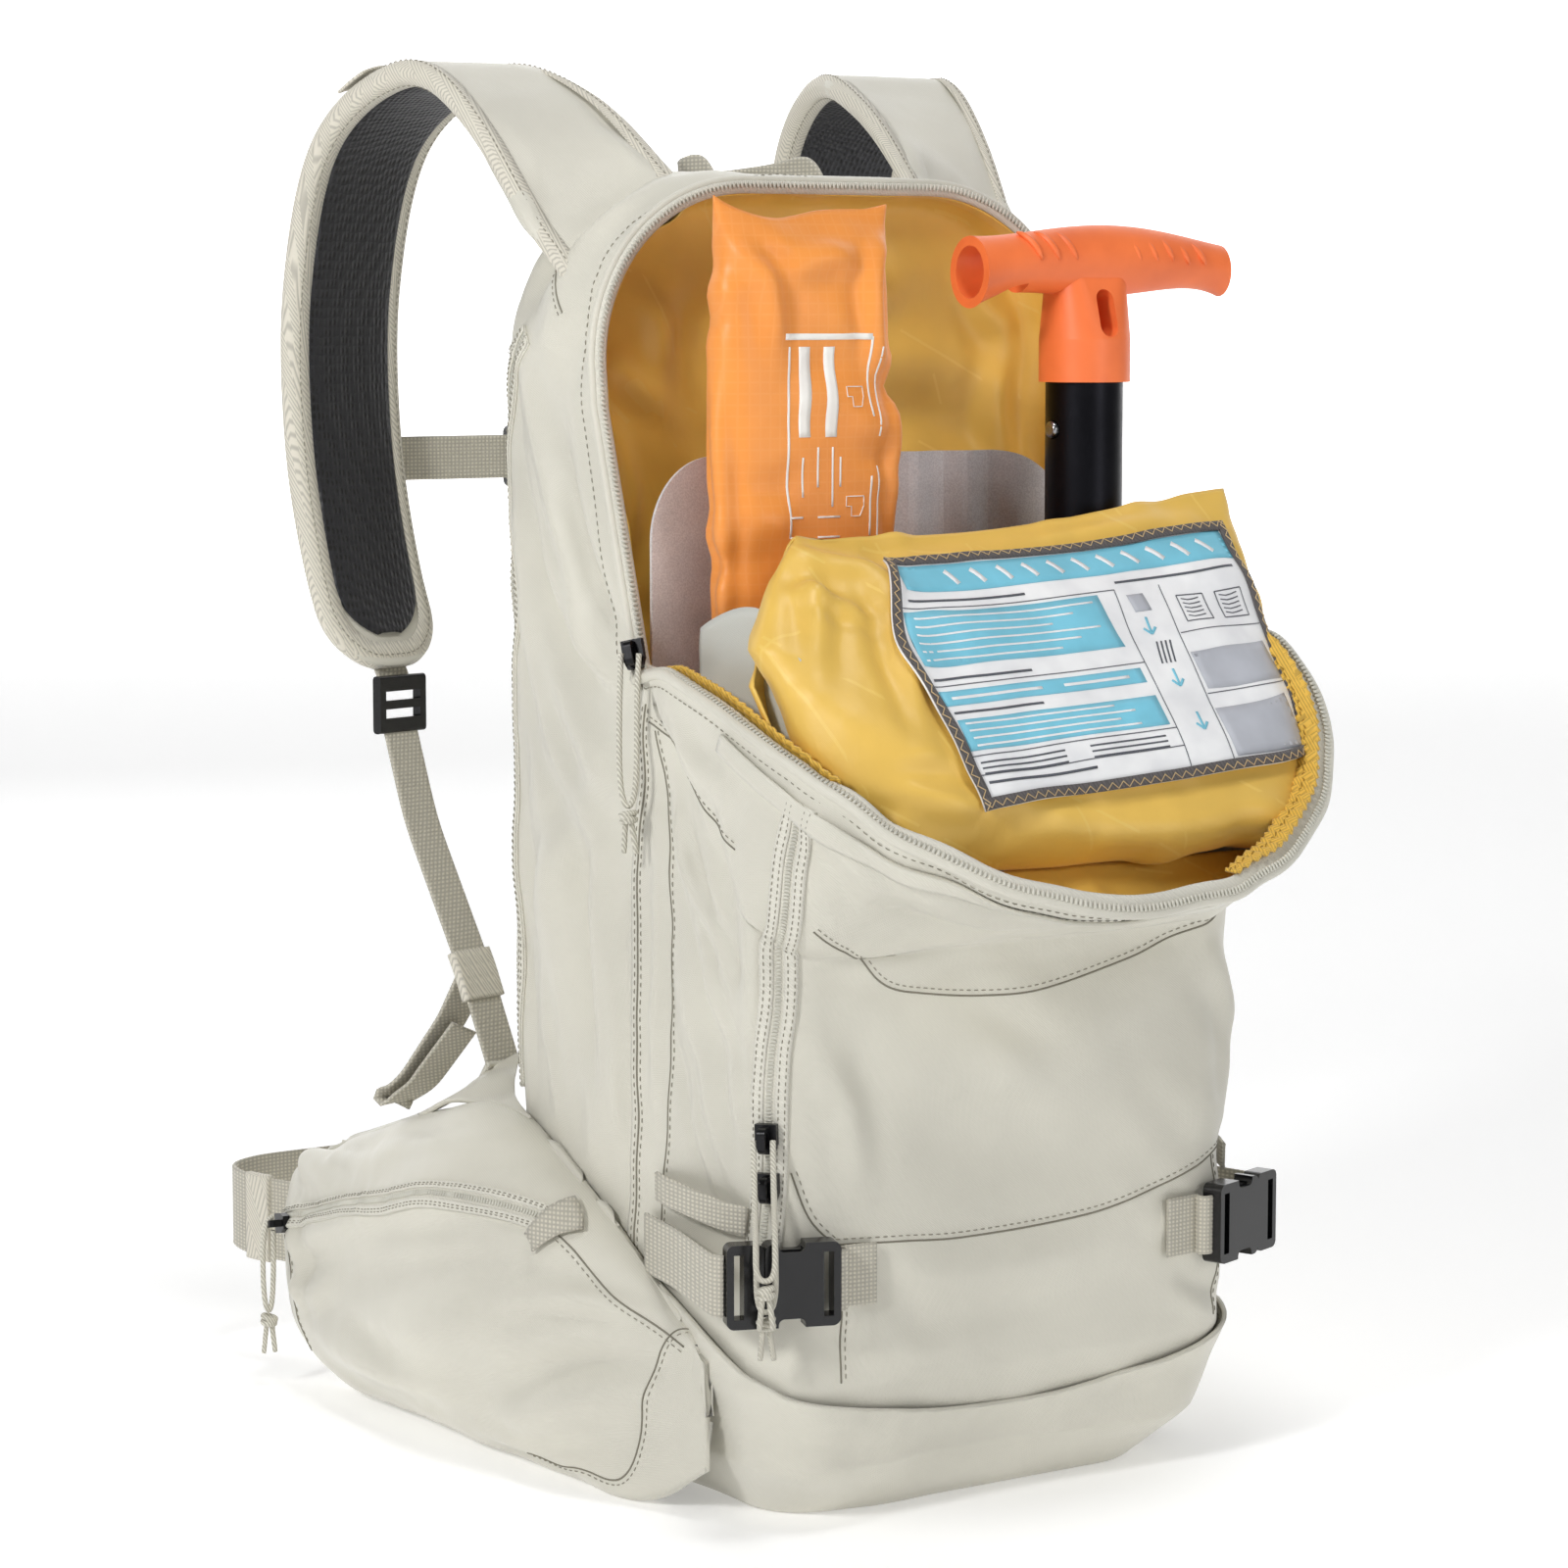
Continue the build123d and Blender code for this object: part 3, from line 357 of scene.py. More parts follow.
def cord_paint():
    """Braided cord in the fabric's colour."""
    paint = Paint("braided_cord", roughness=0.65, sheen=0.2)
    left = paint.wave(900, (0.7, 0.4, 0.3))
    right = paint.wave(900, (-0.7, 0.4, -0.3))
    braid = paint.math("MULTIPLY", left, right)
    paint.colour(paint.ramp(braid, ((0, rgb(178, 174, 160)), (0.5, rgb(222, 219, 206)))))
    return paint.bump((braid, 0.3, 0.6)).material


STONE = (217, 214, 201)
PAINTS = {
    "fabric": cloth_paint("stone_cloth", STONE, roughness=0.44, sheen=0.3, soft=0.4),
    "inner": cloth_paint("stone_cloth_inside", (204, 205, 198), roughness=0.6),
    "tape": cloth_paint("zip_tape_cloth", (226, 223, 211), weave=1.1, roughness=0.7, twill=0.6, soft=0.05),
    "edge_tape": herringbone_paint("binding_cloth", (216, 211, 197)),
    "web": web_paint("ribbed_webbing", (207, 202, 187)),
    # dark tubes along the seams: painted shade of the seams' grooves, not a thread colour
    "seam": cloth_paint("seam_groove_painted_shade", (132, 128, 114), roughness=0.8, sheen=0.0),
    "stitch": cloth_paint("stitch_thread", (150, 146, 131), roughness=0.7, sheen=0.1),
    "pale_stitch": cloth_paint("pale_thread", (232, 228, 214), roughness=0.6, sheen=0.1),
    "gold_stitch": cloth_paint("gold_thread", (172, 134, 44), roughness=0.7, sheen=0.1),
    "tan_stitch": cloth_paint("tan_thread", (214, 186, 140), roughness=0.7, sheen=0.1),
    "coil": plastic_paint("zip_coil", (206, 204, 192), roughness=0.4),
    "lining": lining_paint(),
    "gold_tape": herringbone_paint("gold_binding", (228, 184, 76)),
    "ripstop": ripstop_paint(),
    "mesh": mesh_paint(),
    "black": plastic_paint("gloss_black_plastic", (17, 17, 19), roughness=0.22),
    "slider": metal_paint("black_slider_metal", (26, 26, 28), 0.3, metallic=0.6),
    "cord": cord_paint(),
    "grip": plastic_paint("orange_grip_plastic", (255, 124, 66), roughness=0.42),
    "shaft": metal_paint("black_anodised_tube", (34, 34, 38), 0.36),
    "button": metal_paint("steel_button", (150, 150, 152), 0.25),
    "blade": metal_paint("grey_speckled_blade", (226, 224, 226), 0.45, speckle=0.35, metallic=0.1),
    "tube": metal_paint("probe_tube", (60, 62, 66), 0.3),
    "card": plastic_paint("card_white", (244, 245, 248), roughness=0.5),
    "cyan": plastic_paint("card_cyan", (126, 203, 226), roughness=0.5),
    "card_grey": plastic_paint("card_grey", (186, 189, 197), roughness=0.5),
    "card_ink": plastic_paint("card_ink", (88, 92, 100), roughness=0.5),
    "card_edge": herringbone_paint("card_binding_tape", (92, 88, 88)),
    "foam": cloth_paint("pad_cloth", (196, 193, 181), roughness=0.8),
    "sheet": plastic_paint("frame_sheet_plastic", (40, 42, 46), roughness=0.5),
    "stay": metal_paint("stay_aluminium", (170, 172, 176), 0.35),
    "print": plastic_paint("white_print", (250, 244, 238), roughness=0.5),
}

CAD_PAINTS = {
    "tape": ("arch_zip", "flap_rim", "front_zip", "belt_zips"),
    "web": ("haul_loop", "belt_web_left", "belt_web_right", "adjuster_web_left", "adjuster_web_right",
            "sternum_web_left", "sternum_web_right", "side_web_left", "side_web_right", "side_keepers"),
    "black": ("belt_socket", "belt_plug", "sternum_socket", "sternum_plug", "side_sockets",
              "side_plug_left", "side_plug_right", "ladder_locks"),
    "slider": ("arch_slider_left", "arch_slider_right", "front_slider_upper", "front_slider_lower",
               "belt_slider_left", "belt_slider_right"),
    "cord": ("arch_pull_left", "arch_pull_right", "front_pull_upper", "front_pull_lower",
             "belt_pull_left", "belt_pull_right"),
    "fabric": ("base_panel", "main_shell", "front_shell", "front_panels", "wing_left", "wing_right",
               "flap_gusset", "strap_left", "strap_right", "strap_anchors"),
    "inner": ("tool_sleeve",),
    "lining": ("tool_lining", "divider_pouch"),
    "ripstop": ("probe_bag",),
    "mesh": ("strap_mesh",),
    "grip": ("shovel_grip",),
    "shaft": ("shovel_shaft",),
    "button": ("shaft_button",),
    "blade": ("shovel_blade",),
    "tube": ("probe_tubes",),
    "card": ("divider_card",),
    "card_edge": ("card_binding",),
    "foam": ("back_pad",),
    "sheet": ("frame_sheet",),
    "stay": ("frame_stays",),
}


def paint_cad_nodes():
    for paint, names in CAD_PAINTS.items():
        for name in names:
            slots = NODES[name].data.materials
            slots.clear()
            slots.append(PAINTS[paint])


paint_cad_nodes()

# ---------------------------------------------------------------- mesh helpers


def unit(vectors):
    """Vectors scaled to length one."""
    vectors = np.asarray(vectors, float)
    length = np.linalg.norm(vectors, axis=-1, keepdims=True)
    return vectors / np.maximum(length, 1e-9)


def smoothstep(value, low=0.0, high=1.0):
    t = np.clip((np.asarray(value, float) - low) / (high - low), 0, 1)
    return t * t * (3 - 2 * t)


def curve_through(points, count, closed=False):
    """count points along a smooth curve through the given points, evenly spaced."""
    points = np.asarray(points, float)
    if closed:
        ring = np.vstack([points[-1:], points, points[:2]])
    else:
        ring = np.vstack([2 * points[0] - points[1], points, 2 * points[-1] - points[-2]])
    fine = []
    for a, b, c, d in zip(ring, ring[1:], ring[2:], ring[3:]):
        t = np.linspace(0, 1, 16, endpoint=False)[:, None]
        fine.append(0.5 * (2 * b + (c - a) * t + (2 * a - 5 * b + 4 * c - d) * t ** 2
                           + (3 * b - a - 3 * c + d) * t ** 3))
    fine = np.vstack(fine + [points[:1] if closed else points[-1:]])
    return evenly(fine, count)


def evenly(points, count):
    """count points, evenly spaced along a polyline."""
    points = np.asarray(points, float)
    steps = np.linalg.norm(np.diff(points, axis=0), axis=1)
    run = np.concatenate([[0], np.cumsum(steps)])
    places = np.linspace(0, run[-1], count)
    return np.stack([np.interp(places, run, points[:, k]) for k in range(points.shape[1])], -1)


def smooth_ends_kept(line, passes):
    """Smooth a line in place; its two end points stay."""
    for _ in range(passes):
        line[1:-1] = (line[:-2] + 2 * line[1:-1] + line[2:]) / 4


def length_of(points):
    """Length of a polyline."""
    return float(np.linalg.norm(np.diff(np.asarray(points, float), axis=0), axis=1).sum())


def grid_faces(rows, columns, wrap=False):
    """Quads of a grid of rows by columns, joined round its columns if wrap."""
    row, column = np.meshgrid(np.arange(rows - 1), np.arange(columns - (not wrap)), indexing="ij")
    a = row * columns + column
    b = row * columns + (column + 1) % columns
    return np.stack([a, b, b + columns, a + columns], -1).reshape(-1, 4)


def grid_normals(grid):
    """Normal of each point of a grid, to the right of its rows' direction."""
    along = np.gradient(grid, axis=1)
    up = np.gradient(grid, axis=0)
    return unit(np.cross(along, up))


def new_object(name, points, faces, paint, smooth=True):
    """A mesh object from points in mm."""
    mesh = bpy.data.meshes.new(name)
    mesh.from_pydata((np.asarray(points, float) * MM).tolist(), [], np.asarray(faces).tolist())
    mesh.validate()
    mesh.polygons.foreach_set("use_smooth", [smooth] * len(mesh.polygons))
    mesh.materials.append(PAINTS[paint])
    mesh.update()
    made = bpy.data.objects.new(name, mesh)
    bpy.context.scene.collection.objects.link(made)
    return made


def cloth_object(name, grid, paint, thick=1.2, wrap=False):
    """A sheet of cloth of some thickness, outside face on the grid."""
    rows, columns = grid.shape[:2]
    normals = grid_normals(grid)
    if wrap:
        wide = np.concatenate([grid[:, -1:], grid, grid[:, :1]], axis=1)
        normals = grid_normals(wide)[:, 1:-1]
    inner = grid - normals * thick
    count = rows * columns
    faces = grid_faces(rows, columns, wrap)
    sides = [faces, faces[:, ::-1] + count]
    def wall(edge):
        edge = np.asarray(edge)
        return np.stack([edge[1:], edge[:-1], edge[:-1] + count, edge[1:] + count], -1)
    numbers = np.arange(count).reshape(rows, columns)
    if wrap:
        ring = lambda line: np.append(line, line[0])
        sides += [wall(ring(numbers[0])), wall(ring(numbers[-1])[::-1])]
    else:
        sides += [wall(numbers[0]), wall(numbers[-1][::-1]), wall(numbers[:, -1]), wall(numbers[::-1, 0])]
    points = np.concatenate([grid.reshape(-1, 3), inner.reshape(-1, 3)])
    return new_object(name, points, np.concatenate(sides), paint)


class Sheet:
    """A grid of cloth points that other pieces lie on. s runs along columns and h along rows."""

    def __init__(self, grid):
        self.grid = grid
        self.normals = grid_normals(grid)

    def sample(self, table, s, h):
        rows, columns = self.grid.shape[:2]
        x = np.clip(np.asarray(s, float), 0, 1) * (columns - 1)
        y = np.clip(np.asarray(h, float), 0, 1) * (rows - 1)
        column = np.minimum(x.astype(int), columns - 2)
        row = np.minimum(y.astype(int), rows - 2)
        fx = (x - column)[..., None]
        fy = (y - row)[..., None]
        low = table[row, column] * (1 - fx) + table[row, column + 1] * fx
        high = table[row + 1, column] * (1 - fx) + table[row + 1, column + 1] * fx
        return low * (1 - fy) + high * fy

    def at(self, s, h, lift=0.0):
        normal = unit(self.sample(self.normals, s, h))
        return self.sample(self.grid, s, h) + normal * lift, normal

    def path(self, marks, step=2.0):
        """(s, h) pairs about step mm apart along a smooth line through marks."""
        fine = curve_through(marks, 200)
        run = length_of(self.at(fine[:, 0], fine[:, 1])[0])
        count = max(4, int(run / step) + 1)
        fine = curve_through(marks, 600)
        points = self.at(fine[:, 0], fine[:, 1])[0]
        steps = np.concatenate([[0], np.cumsum(np.linalg.norm(np.diff(points, axis=0), axis=1))])
        places = np.linspace(0, steps[-1], count)
        return np.stack([np.interp(places, steps, fine[:, k]) for k in range(2)], -1)

    def beside(self, path, offset):
        """The (s, h) line that lies offset mm to the left of a path."""
        points, normals = self.at(path[:, 0], path[:, 1])
        ahead = unit(np.gradient(points, axis=0))
        side = unit(np.cross(normals, ahead)) * offset
        tiny = 0.002
        ds = (self.sample(self.grid, path[:, 0] + tiny, path[:, 1])
              - self.sample(self.grid, path[:, 0] - tiny, path[:, 1])) / (2 * tiny)
        dh = (self.sample(self.grid, path[:, 0], path[:, 1] + tiny)
              - self.sample(self.grid, path[:, 0], path[:, 1] - tiny)) / (2 * tiny)
        aa = (ds * ds).sum(-1)
        bb = (dh * dh).sum(-1)
        ab = (ds * dh).sum(-1)
        sa = (ds * side).sum(-1)
        sb = (dh * side).sum(-1)
        det = np.maximum(aa * bb - ab * ab, 1e-6)
        return path + np.stack([(sa * bb - sb * ab) / det, (sb * aa - sa * ab) / det], -1)


def nearest_on_line(points, line):
    """Distance to a polyline, and how far along it (0 to 1) the nearest place is."""
    line = np.asarray(line, float)
    best = np.full(len(points), 1e9)
    along = np.zeros(len(points))
    lengths = np.linalg.norm(np.diff(line, axis=0), axis=1)
    starts = np.concatenate([[0], np.cumsum(lengths)])
    for a, b, start, size in zip(line, line[1:], starts, lengths):
        t = np.clip(((points - a) @ (b - a)) / max(size * size, 1e-9), 0, 1)
        gap = np.linalg.norm(points - (a + t[:, None] * (b - a)), axis=1)
        closer = gap < best
        best[closer] = gap[closer]
        along[closer] = (start + t[closer] * size) / starts[-1]
    return best, along


FOLD_GAIN = 1.9            # all folds and ripples are this much deeper than listed


def add_folds(grid, folds):
    """Raise soft folds on a grid: each is (points, width, height), sunk where height is negative."""
    flat = grid.reshape(-1, 3)
    normals = grid_normals(grid).reshape(-1, 3)
    lift = np.zeros(len(flat))
    for points, width, height in folds:
        gap, along = nearest_on_line(flat, curve_through(points, 14))
        fade = np.sin(np.pi * np.clip(along, 0.03, 0.97)) ** 0.7
        ridge = np.exp(-(gap / width) ** 2)
        trough = np.exp(-((gap - 1.9 * width) / (0.9 * width)) ** 2)
        lift += FOLD_GAIN * height * fade * (ridge - 0.35 * trough)
    return (flat + normals * lift[:, None]).reshape(grid.shape)


def add_ripples(grid, direction, wavelength, height, seed, patch=90.0):
    """Patchy soft ripples whose crests lie square to a direction."""
    draw = np.random.RandomState(seed)
    flat = grid.reshape(-1, 3)
    normals = grid_normals(grid).reshape(-1, 3)
    total = np.zeros(len(flat))
    for _ in range(7):
        way = unit(np.asarray(direction, float) + draw.normal(0, 0.28, 3))
        length = wavelength * draw.uniform(0.6, 1.6)
        total += np.sin(flat @ way * 2 * np.pi / length + draw.uniform(0, 2 * np.pi)) * length / wavelength
    mask = np.zeros(len(flat))
    for _ in range(5):
        way = unit(draw.normal(0, 1, 3))
        mask += np.sin(flat @ way * 2 * np.pi / (patch * draw.uniform(0.7, 1.8)) + draw.uniform(0, 6.28))
    lift = FOLD_GAIN * height / 4 * total * smoothstep(mask, -1.5, 2.5)
    return (flat + normals * lift[:, None]).reshape(grid.shape)


def add_puckers(grid, line, pitch, reach, height, seed, side=None):
    """Short gathers that run out of a sewn line, as cloth pulls at its stitches."""
    draw = np.random.RandomState(seed)
    flat = grid.reshape(-1, 3)
    normals = grid_normals(grid).reshape(-1, 3)
    line = np.asarray(line, float)
    gap, along = nearest_on_line(flat, line)
    run = along * length_of(line)
    wave = np.zeros(len(flat))
    for share in (1.0, 0.63, 1.7):
        wave += np.sin(run * 2 * np.pi / (pitch * share) + draw.uniform(0, 6.28)) / (1 + share)
    local = 0.6 + 0.4 * np.sin(run * 2 * np.pi / (pitch * 5.3) + draw.uniform(0, 6.28))
    fade = np.exp(-(gap / (reach * local + 2)) ** 1.5) * smoothstep(gap, 0, 2.5)
    if side is not None:
        fade *= ((flat - line.mean(0)) @ np.asarray(side, float)) > -reach
    lift = height * wave * fade
    return (flat + normals * lift[:, None]).reshape(grid.shape)



# ---------------------------------------------------------------- pieces that lie on cloth

def frames_along(points, up=None):
    """Ahead, side and up directions along a line, turning as little as they can."""
    ahead = unit(np.gradient(points, axis=0))
    if up is not None:
        side = unit(np.cross(np.broadcast_to(up, points.shape), ahead))
        return ahead, side, unit(np.cross(ahead, side))
    ups = [unit(np.cross(ahead[0], (0.3, 0.2, 0.9)))]
    for direction in ahead[1:]:
        last = ups[-1] - direction * (ups[-1] @ direction)
        ups.append(unit(last))
    ups = np.array(ups)
    return ahead, unit(np.cross(ups, ahead)), ups


def swept(points, side, up, profile):
    """Rings of a closed profile, given as (across, height) pairs, carried along a line."""
    profile = np.asarray(profile, float)
    return (points[:, None] + side[:, None] * profile[None, :, :1] + up[:, None] * profile[None, :, 1:2])


def capped(grid):
    """Points and faces of a tube of rings, with both ends closed."""
    rows, columns = grid.shape[:2]
    points = grid.reshape(-1, 3)
    faces = [list(face) for face in grid_faces(rows, columns, True)]
    faces.append(list(range(columns))[::-1])
    faces.append([(rows - 1) * columns + k for k in range(columns)])
    return points, faces



def joined_object(name, parts, paint, smooth=True):
    """One object from several (points, faces) parts."""
    points = []
    faces = []
    for part_points, part_faces in parts:
        start = len(points)
        points.extend(part_points)
        faces.extend([[start + k for k in face] for face in part_faces])
    mesh = bpy.data.meshes.new(name)
    mesh.from_pydata([tuple(float(v) * MM for v in p) for p in points], [], faces)
    mesh.polygons.foreach_set("use_smooth", [smooth] * len(mesh.polygons))
    mesh.materials.append(PAINTS[paint])
    mesh.update()
    made = bpy.data.objects.new(name, mesh)
    bpy.context.scene.collection.objects.link(made)
    return made


def tape_on(sheet, marks, width, thick, lift=0.1, offset=0.0, step=3.0, across=5):
    """A strip of tape laid on a sheet along marks, as (points, faces)."""
    path = sheet.path(marks, step)
    rows = []
    for share in np.linspace(-0.5, 0.5, across):
        line = sheet.beside(path, offset + share * width)
        rows.append(sheet.at(line[:, 0], line[:, 1], lift))
    low = np.stack([row[0] for row in rows], 1)
    normals = np.stack([row[1] for row in rows], 1)
    high = low + normals * thick
    grid = np.concatenate([low, high[:, ::-1]], axis=1)
    return capped(grid)


def stitches_on(points, normals, length=2.6, gap=1.2, radius=0.32):
    """Small stitches along a line of points, as one (points, faces) part each."""
    run = length_of(points)
    count = max(1, int(run / (length + gap)))
    steps = np.concatenate([[0], np.cumsum(np.linalg.norm(np.diff(points, axis=0), axis=1))])
    starts = np.arange(count) * (run / count)
    parts = []
    outline = [(math.cos(a), math.sin(a)) for a in np.arange(6) * math.pi / 3]
    for start in starts:
        places = start + np.array([0, 0.15, 0.5, 0.85, 1]) * length
        middle = np.stack([np.interp(places, steps, points[:, k]) for k in range(3)], -1)
        up = unit(np.stack([np.interp(places, steps, normals[:, k]) for k in range(3)], -1))
        ahead = unit(middle[-1] - middle[0])
        side = unit(np.cross(up, ahead))
        swell = np.array([0.35, 0.9, 1, 0.9, 0.35]) * radius
        sink = np.array([-0.25, 0.05, 0.15, 0.05, -0.25])
        middle = middle + up * sink[:, None]
        ring = [middle + side * (c * swell)[:, None] + up * (d * swell)[:, None] for c, d in outline]
        parts.append(capped(np.stack(ring, 1)))
    return parts


def beads_along(points, side, up, pitch, long, thick):
    """Zip teeth: small rounded bars across a line, as (points, faces) parts."""
    run = length_of(points)
    count = max(2, int(run / pitch))
    middle = evenly(points, count)
    sides = unit(evenly_like(points, side, count))
    ups = unit(evenly_like(points, up, count))
    ahead = unit(np.cross(sides, ups))
    parts = []
    places = np.array([-0.5, -0.4, 0, 0.4, 0.5])
    swell = np.array([0.45, 0.9, 1, 0.9, 0.45]) * thick / 2
    corners = [(math.cos(a), math.sin(a)) for a in np.arange(6) * math.pi / 3]
    for centre, across, lift, along in zip(middle, sides, ups, ahead):
        spine = centre + places[:, None] * long * across
        ring = [spine + along * (c * swell)[:, None] + lift * (d * swell)[:, None] for c, d in corners]
        parts.append(capped(np.stack(ring, 1)))
    return parts


def evenly_like(points, values, count):
    """Values carried from a line's points to count even places along it."""
    steps = np.concatenate([[0], np.cumsum(np.linalg.norm(np.diff(points, axis=0), axis=1))])
    places = np.linspace(0, steps[-1], count)
    return np.stack([np.interp(places, steps, values[:, k]) for k in range(values.shape[1])], -1)


def tube_part(points, radius, sides=8):
    """A round tube along points, as (points, faces)."""
    points = np.asarray(points, float)
    _, side, up = frames_along(points)
    radius = np.broadcast_to(radius, len(points))
    turn = np.arange(sides) * 2 * math.pi / sides
    rings = [points + side * (np.cos(a) * radius)[:, None] + up * (np.sin(a) * radius)[:, None]
             for a in turn]
    return capped(np.stack(rings, 1))


def seam_on(sheet, marks, lift=0.05, radius=0.55):
    """A dark tube along a seam on a sheet: painted shade of the seam's groove."""
    path = sheet.path(marks, 2.0)
    points, _ = sheet.at(path[:, 0], path[:, 1], lift)
    return tube_part(points, radius, 6)


def stitching_on(sheet, marks, offset, **shape):
    """A row of stitches beside a line on a sheet."""
    path = sheet.beside(sheet.path(marks, 2.0), offset)
    points, normals = sheet.at(path[:, 0], path[:, 1], 0.1)
    return stitches_on(points, normals, **shape)


# ---------------------------------------------------------------- zip pulls

PULL_CORD = 2.4
PULL_SPREAD = 7.6
PULL_HOLE = 6.0            # height of the bridge's hole over the zip
UPRIGHT = np.array((0.0, 0.0, 1.0))


def strand(hole, sideways, side, outwards, falls):
    """Points down one strand of a pull: each fall is a drop and a reach outwards."""
    edge = hole + sideways * side * PULL_SPREAD / 2
    return [edge + outwards * reach - UPRIGHT * drop for drop, reach in falls]


def hanging_route(base, out, outwards, falls):
    """A pull whose two strands hang beside the bridge of its slider."""
    hole = np.array(base) + unit(out) * PULL_HOLE
    outwards = unit(outwards)
    sideways = np.cross(UPRIGHT, outwards)
    down = strand(hole, sideways, -1, outwards, falls)
    up = strand(hole, sideways, 1, outwards, falls)[::-1]
    return down + up, (down[-1] + up[0]) / 2, sideways


def belt_route(side):
    """A pull that hangs from the nearly level zip of a hip wing."""
    out = unit((0.992 * side, 0.124, 0))
    hole = np.array((168.0 * side, 202, 75.6)) + out * PULL_HOLE
    low = hole - UPRIGHT * 40
    points = [hole + UPRIGHT * 3.1, hole + UPRIGHT * 3.1 + out * 5.2, low + out * 5.2, low,
              hole - UPRIGHT * 3.1]
    return points, low + out * 2.6, out


def knot_parts(centre, sideways):
    """An overhand knot: three fat crossed turns, with two short tails under it."""
    sideways = unit(sideways)
    front = np.cross(UPRIGHT, sideways)
    turn = np.linspace(0, 2 * math.pi, 25)
    parts = []
    for tilt, drop, wide in ((0.5, -3.3, 2.7), (-0.6, -4.7, 2.9), (0.15, -6.1, 2.5)):
        ring = [centre + sideways * math.cos(a) * wide + front * math.sin(a) * wide
                + UPRIGHT * (drop + tilt * 1.5 * math.cos(a + tilt)) for a in turn]
        parts.append(tube_part(np.array(ring), 1.25, 8))
    for share, lean in ((-1, -0.7), (1, 1.2)):
        tail = [centre + sideways * share * 1.2 - UPRIGHT * drop
                + sideways * lean * (drop - 6) * 0.12 + front * 0.08 * (drop - 6)
                for drop in (6, 9, 12, 16, 19.5)]
        parts.append(tube_part(curve_through(tail, 9), np.array([1.2] * 8 + [1.05]), 8))
    return parts


def make_pull(name, node, body, route):
    """A zip pull's cord, with its knot."""
    points, centre, sideways = route
    data = bpy.data.curves.new(name, "CURVE")
    data.dimensions = "3D"
    data.bevel_depth = PULL_CORD / 2 * MM
    data.bevel_resolution = 3
    data.resolution_u = 12
    spline = data.splines.new("NURBS")
    spline.points.add(len(points) - 1)
    for place, point in zip(spline.points, points):
        place.co = (*(point * MM), 1)
    spline.order_u = 3
    spline.use_endpoint_u = True
    data.materials.append(PAINTS["cord"])
    cord = bpy.data.objects.new(name, data)
    bpy.context.scene.collection.objects.link(cord)
    knot = joined_object(name + "_knot", knot_parts(centre, sideways), "cord")
    for piece in (cord, knot):
        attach(piece, body)
    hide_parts(node)


ARCH_FALLS = ((0, 0), (14, 2.6), (62, 3.0))
for side, word in ((-1, "left"), (1, "right")):
    arch_route = hanging_route(
        (127.2 * side, -42.2, 351), (0.77 * side, -0.61, 0.177), (0.77 * side, -0.61, 0), ARCH_FALLS)
    make_pull("arch_cord_" + word, "arch_pull_" + word, "arch_runner_" + word, arch_route)
    make_pull("belt_cord_" + word, "belt_pull_" + word, "belt_runner_" + word, belt_route(side))

FRONT_OUT = (-0.788, -0.616, 0)
FRONT_OUTWARDS = (-0.5, -0.866, 0)
upper_route = hanging_route(
    (-116.7, -125.5, 164), FRONT_OUT, FRONT_OUTWARDS, ((0, 0), (18, 8.2), (36, 19.5), (52, 20)))
make_pull("front_cord_upper", "front_pull_upper", "front_runner_upper", upper_route)
lower_route = hanging_route(
    (-116.2, -125.7, 144), FRONT_OUT, FRONT_OUTWARDS, ((0, 0), (21, 13.2), (46, 13.6)))
make_pull("front_cord_lower", "front_pull_lower", "front_runner_lower", lower_route)


# ---------------------------------------------------------------- body cloth

def half_width(z):
    return np.interp(z, (0, 24, 60, 235, 550), (92, 108, 118, 122, 126))


def front_y(z):
    return np.interp(z, (0, 24, 60, 235), (-100, -124, -135, -133))


def side_seam_y(z):
    """Y of the upright seam between the side and the front cloth."""
    return np.interp(z, (40, 102, 190, 263, 336), (-20, -22, -27.5, -31, -41))


def arch_y(z):
    """Y of the compartment's zip line at a height."""
    heights = [z for _, z in ARCH_LINE]
    places = [y for y, _ in ARCH_LINE]
    return np.interp(z, heights, places)


def body_outline(low, inset, count):
    """(X, Z) round the body seen from the front: up the left, over the top, down the right."""
    corner_z = TOP - TOP_CORNER
    heights = np.linspace(low, corner_z, 60)
    left = np.stack([-half_width(heights) + inset, heights], -1)
    turn = np.linspace(0, math.pi / 2, 24)[1:]
    centre_x = -(half_width(corner_z) - TOP_CORNER)
    radius = TOP_CORNER - inset
    arc = np.stack([centre_x - np.cos(turn) * radius, corner_z + np.sin(turn) * radius], -1)
    half = np.vstack([left, arc])
    whole = np.vstack([half, half[::-1] * (-1, 1)])
    return evenly(whole, count)


def outline_normals(line):
    """Outward (X, Z) directions of the body's outline."""
    ahead = unit(np.gradient(line, axis=0))
    return np.stack([-ahead[:, 1], ahead[:, 0]], -1)


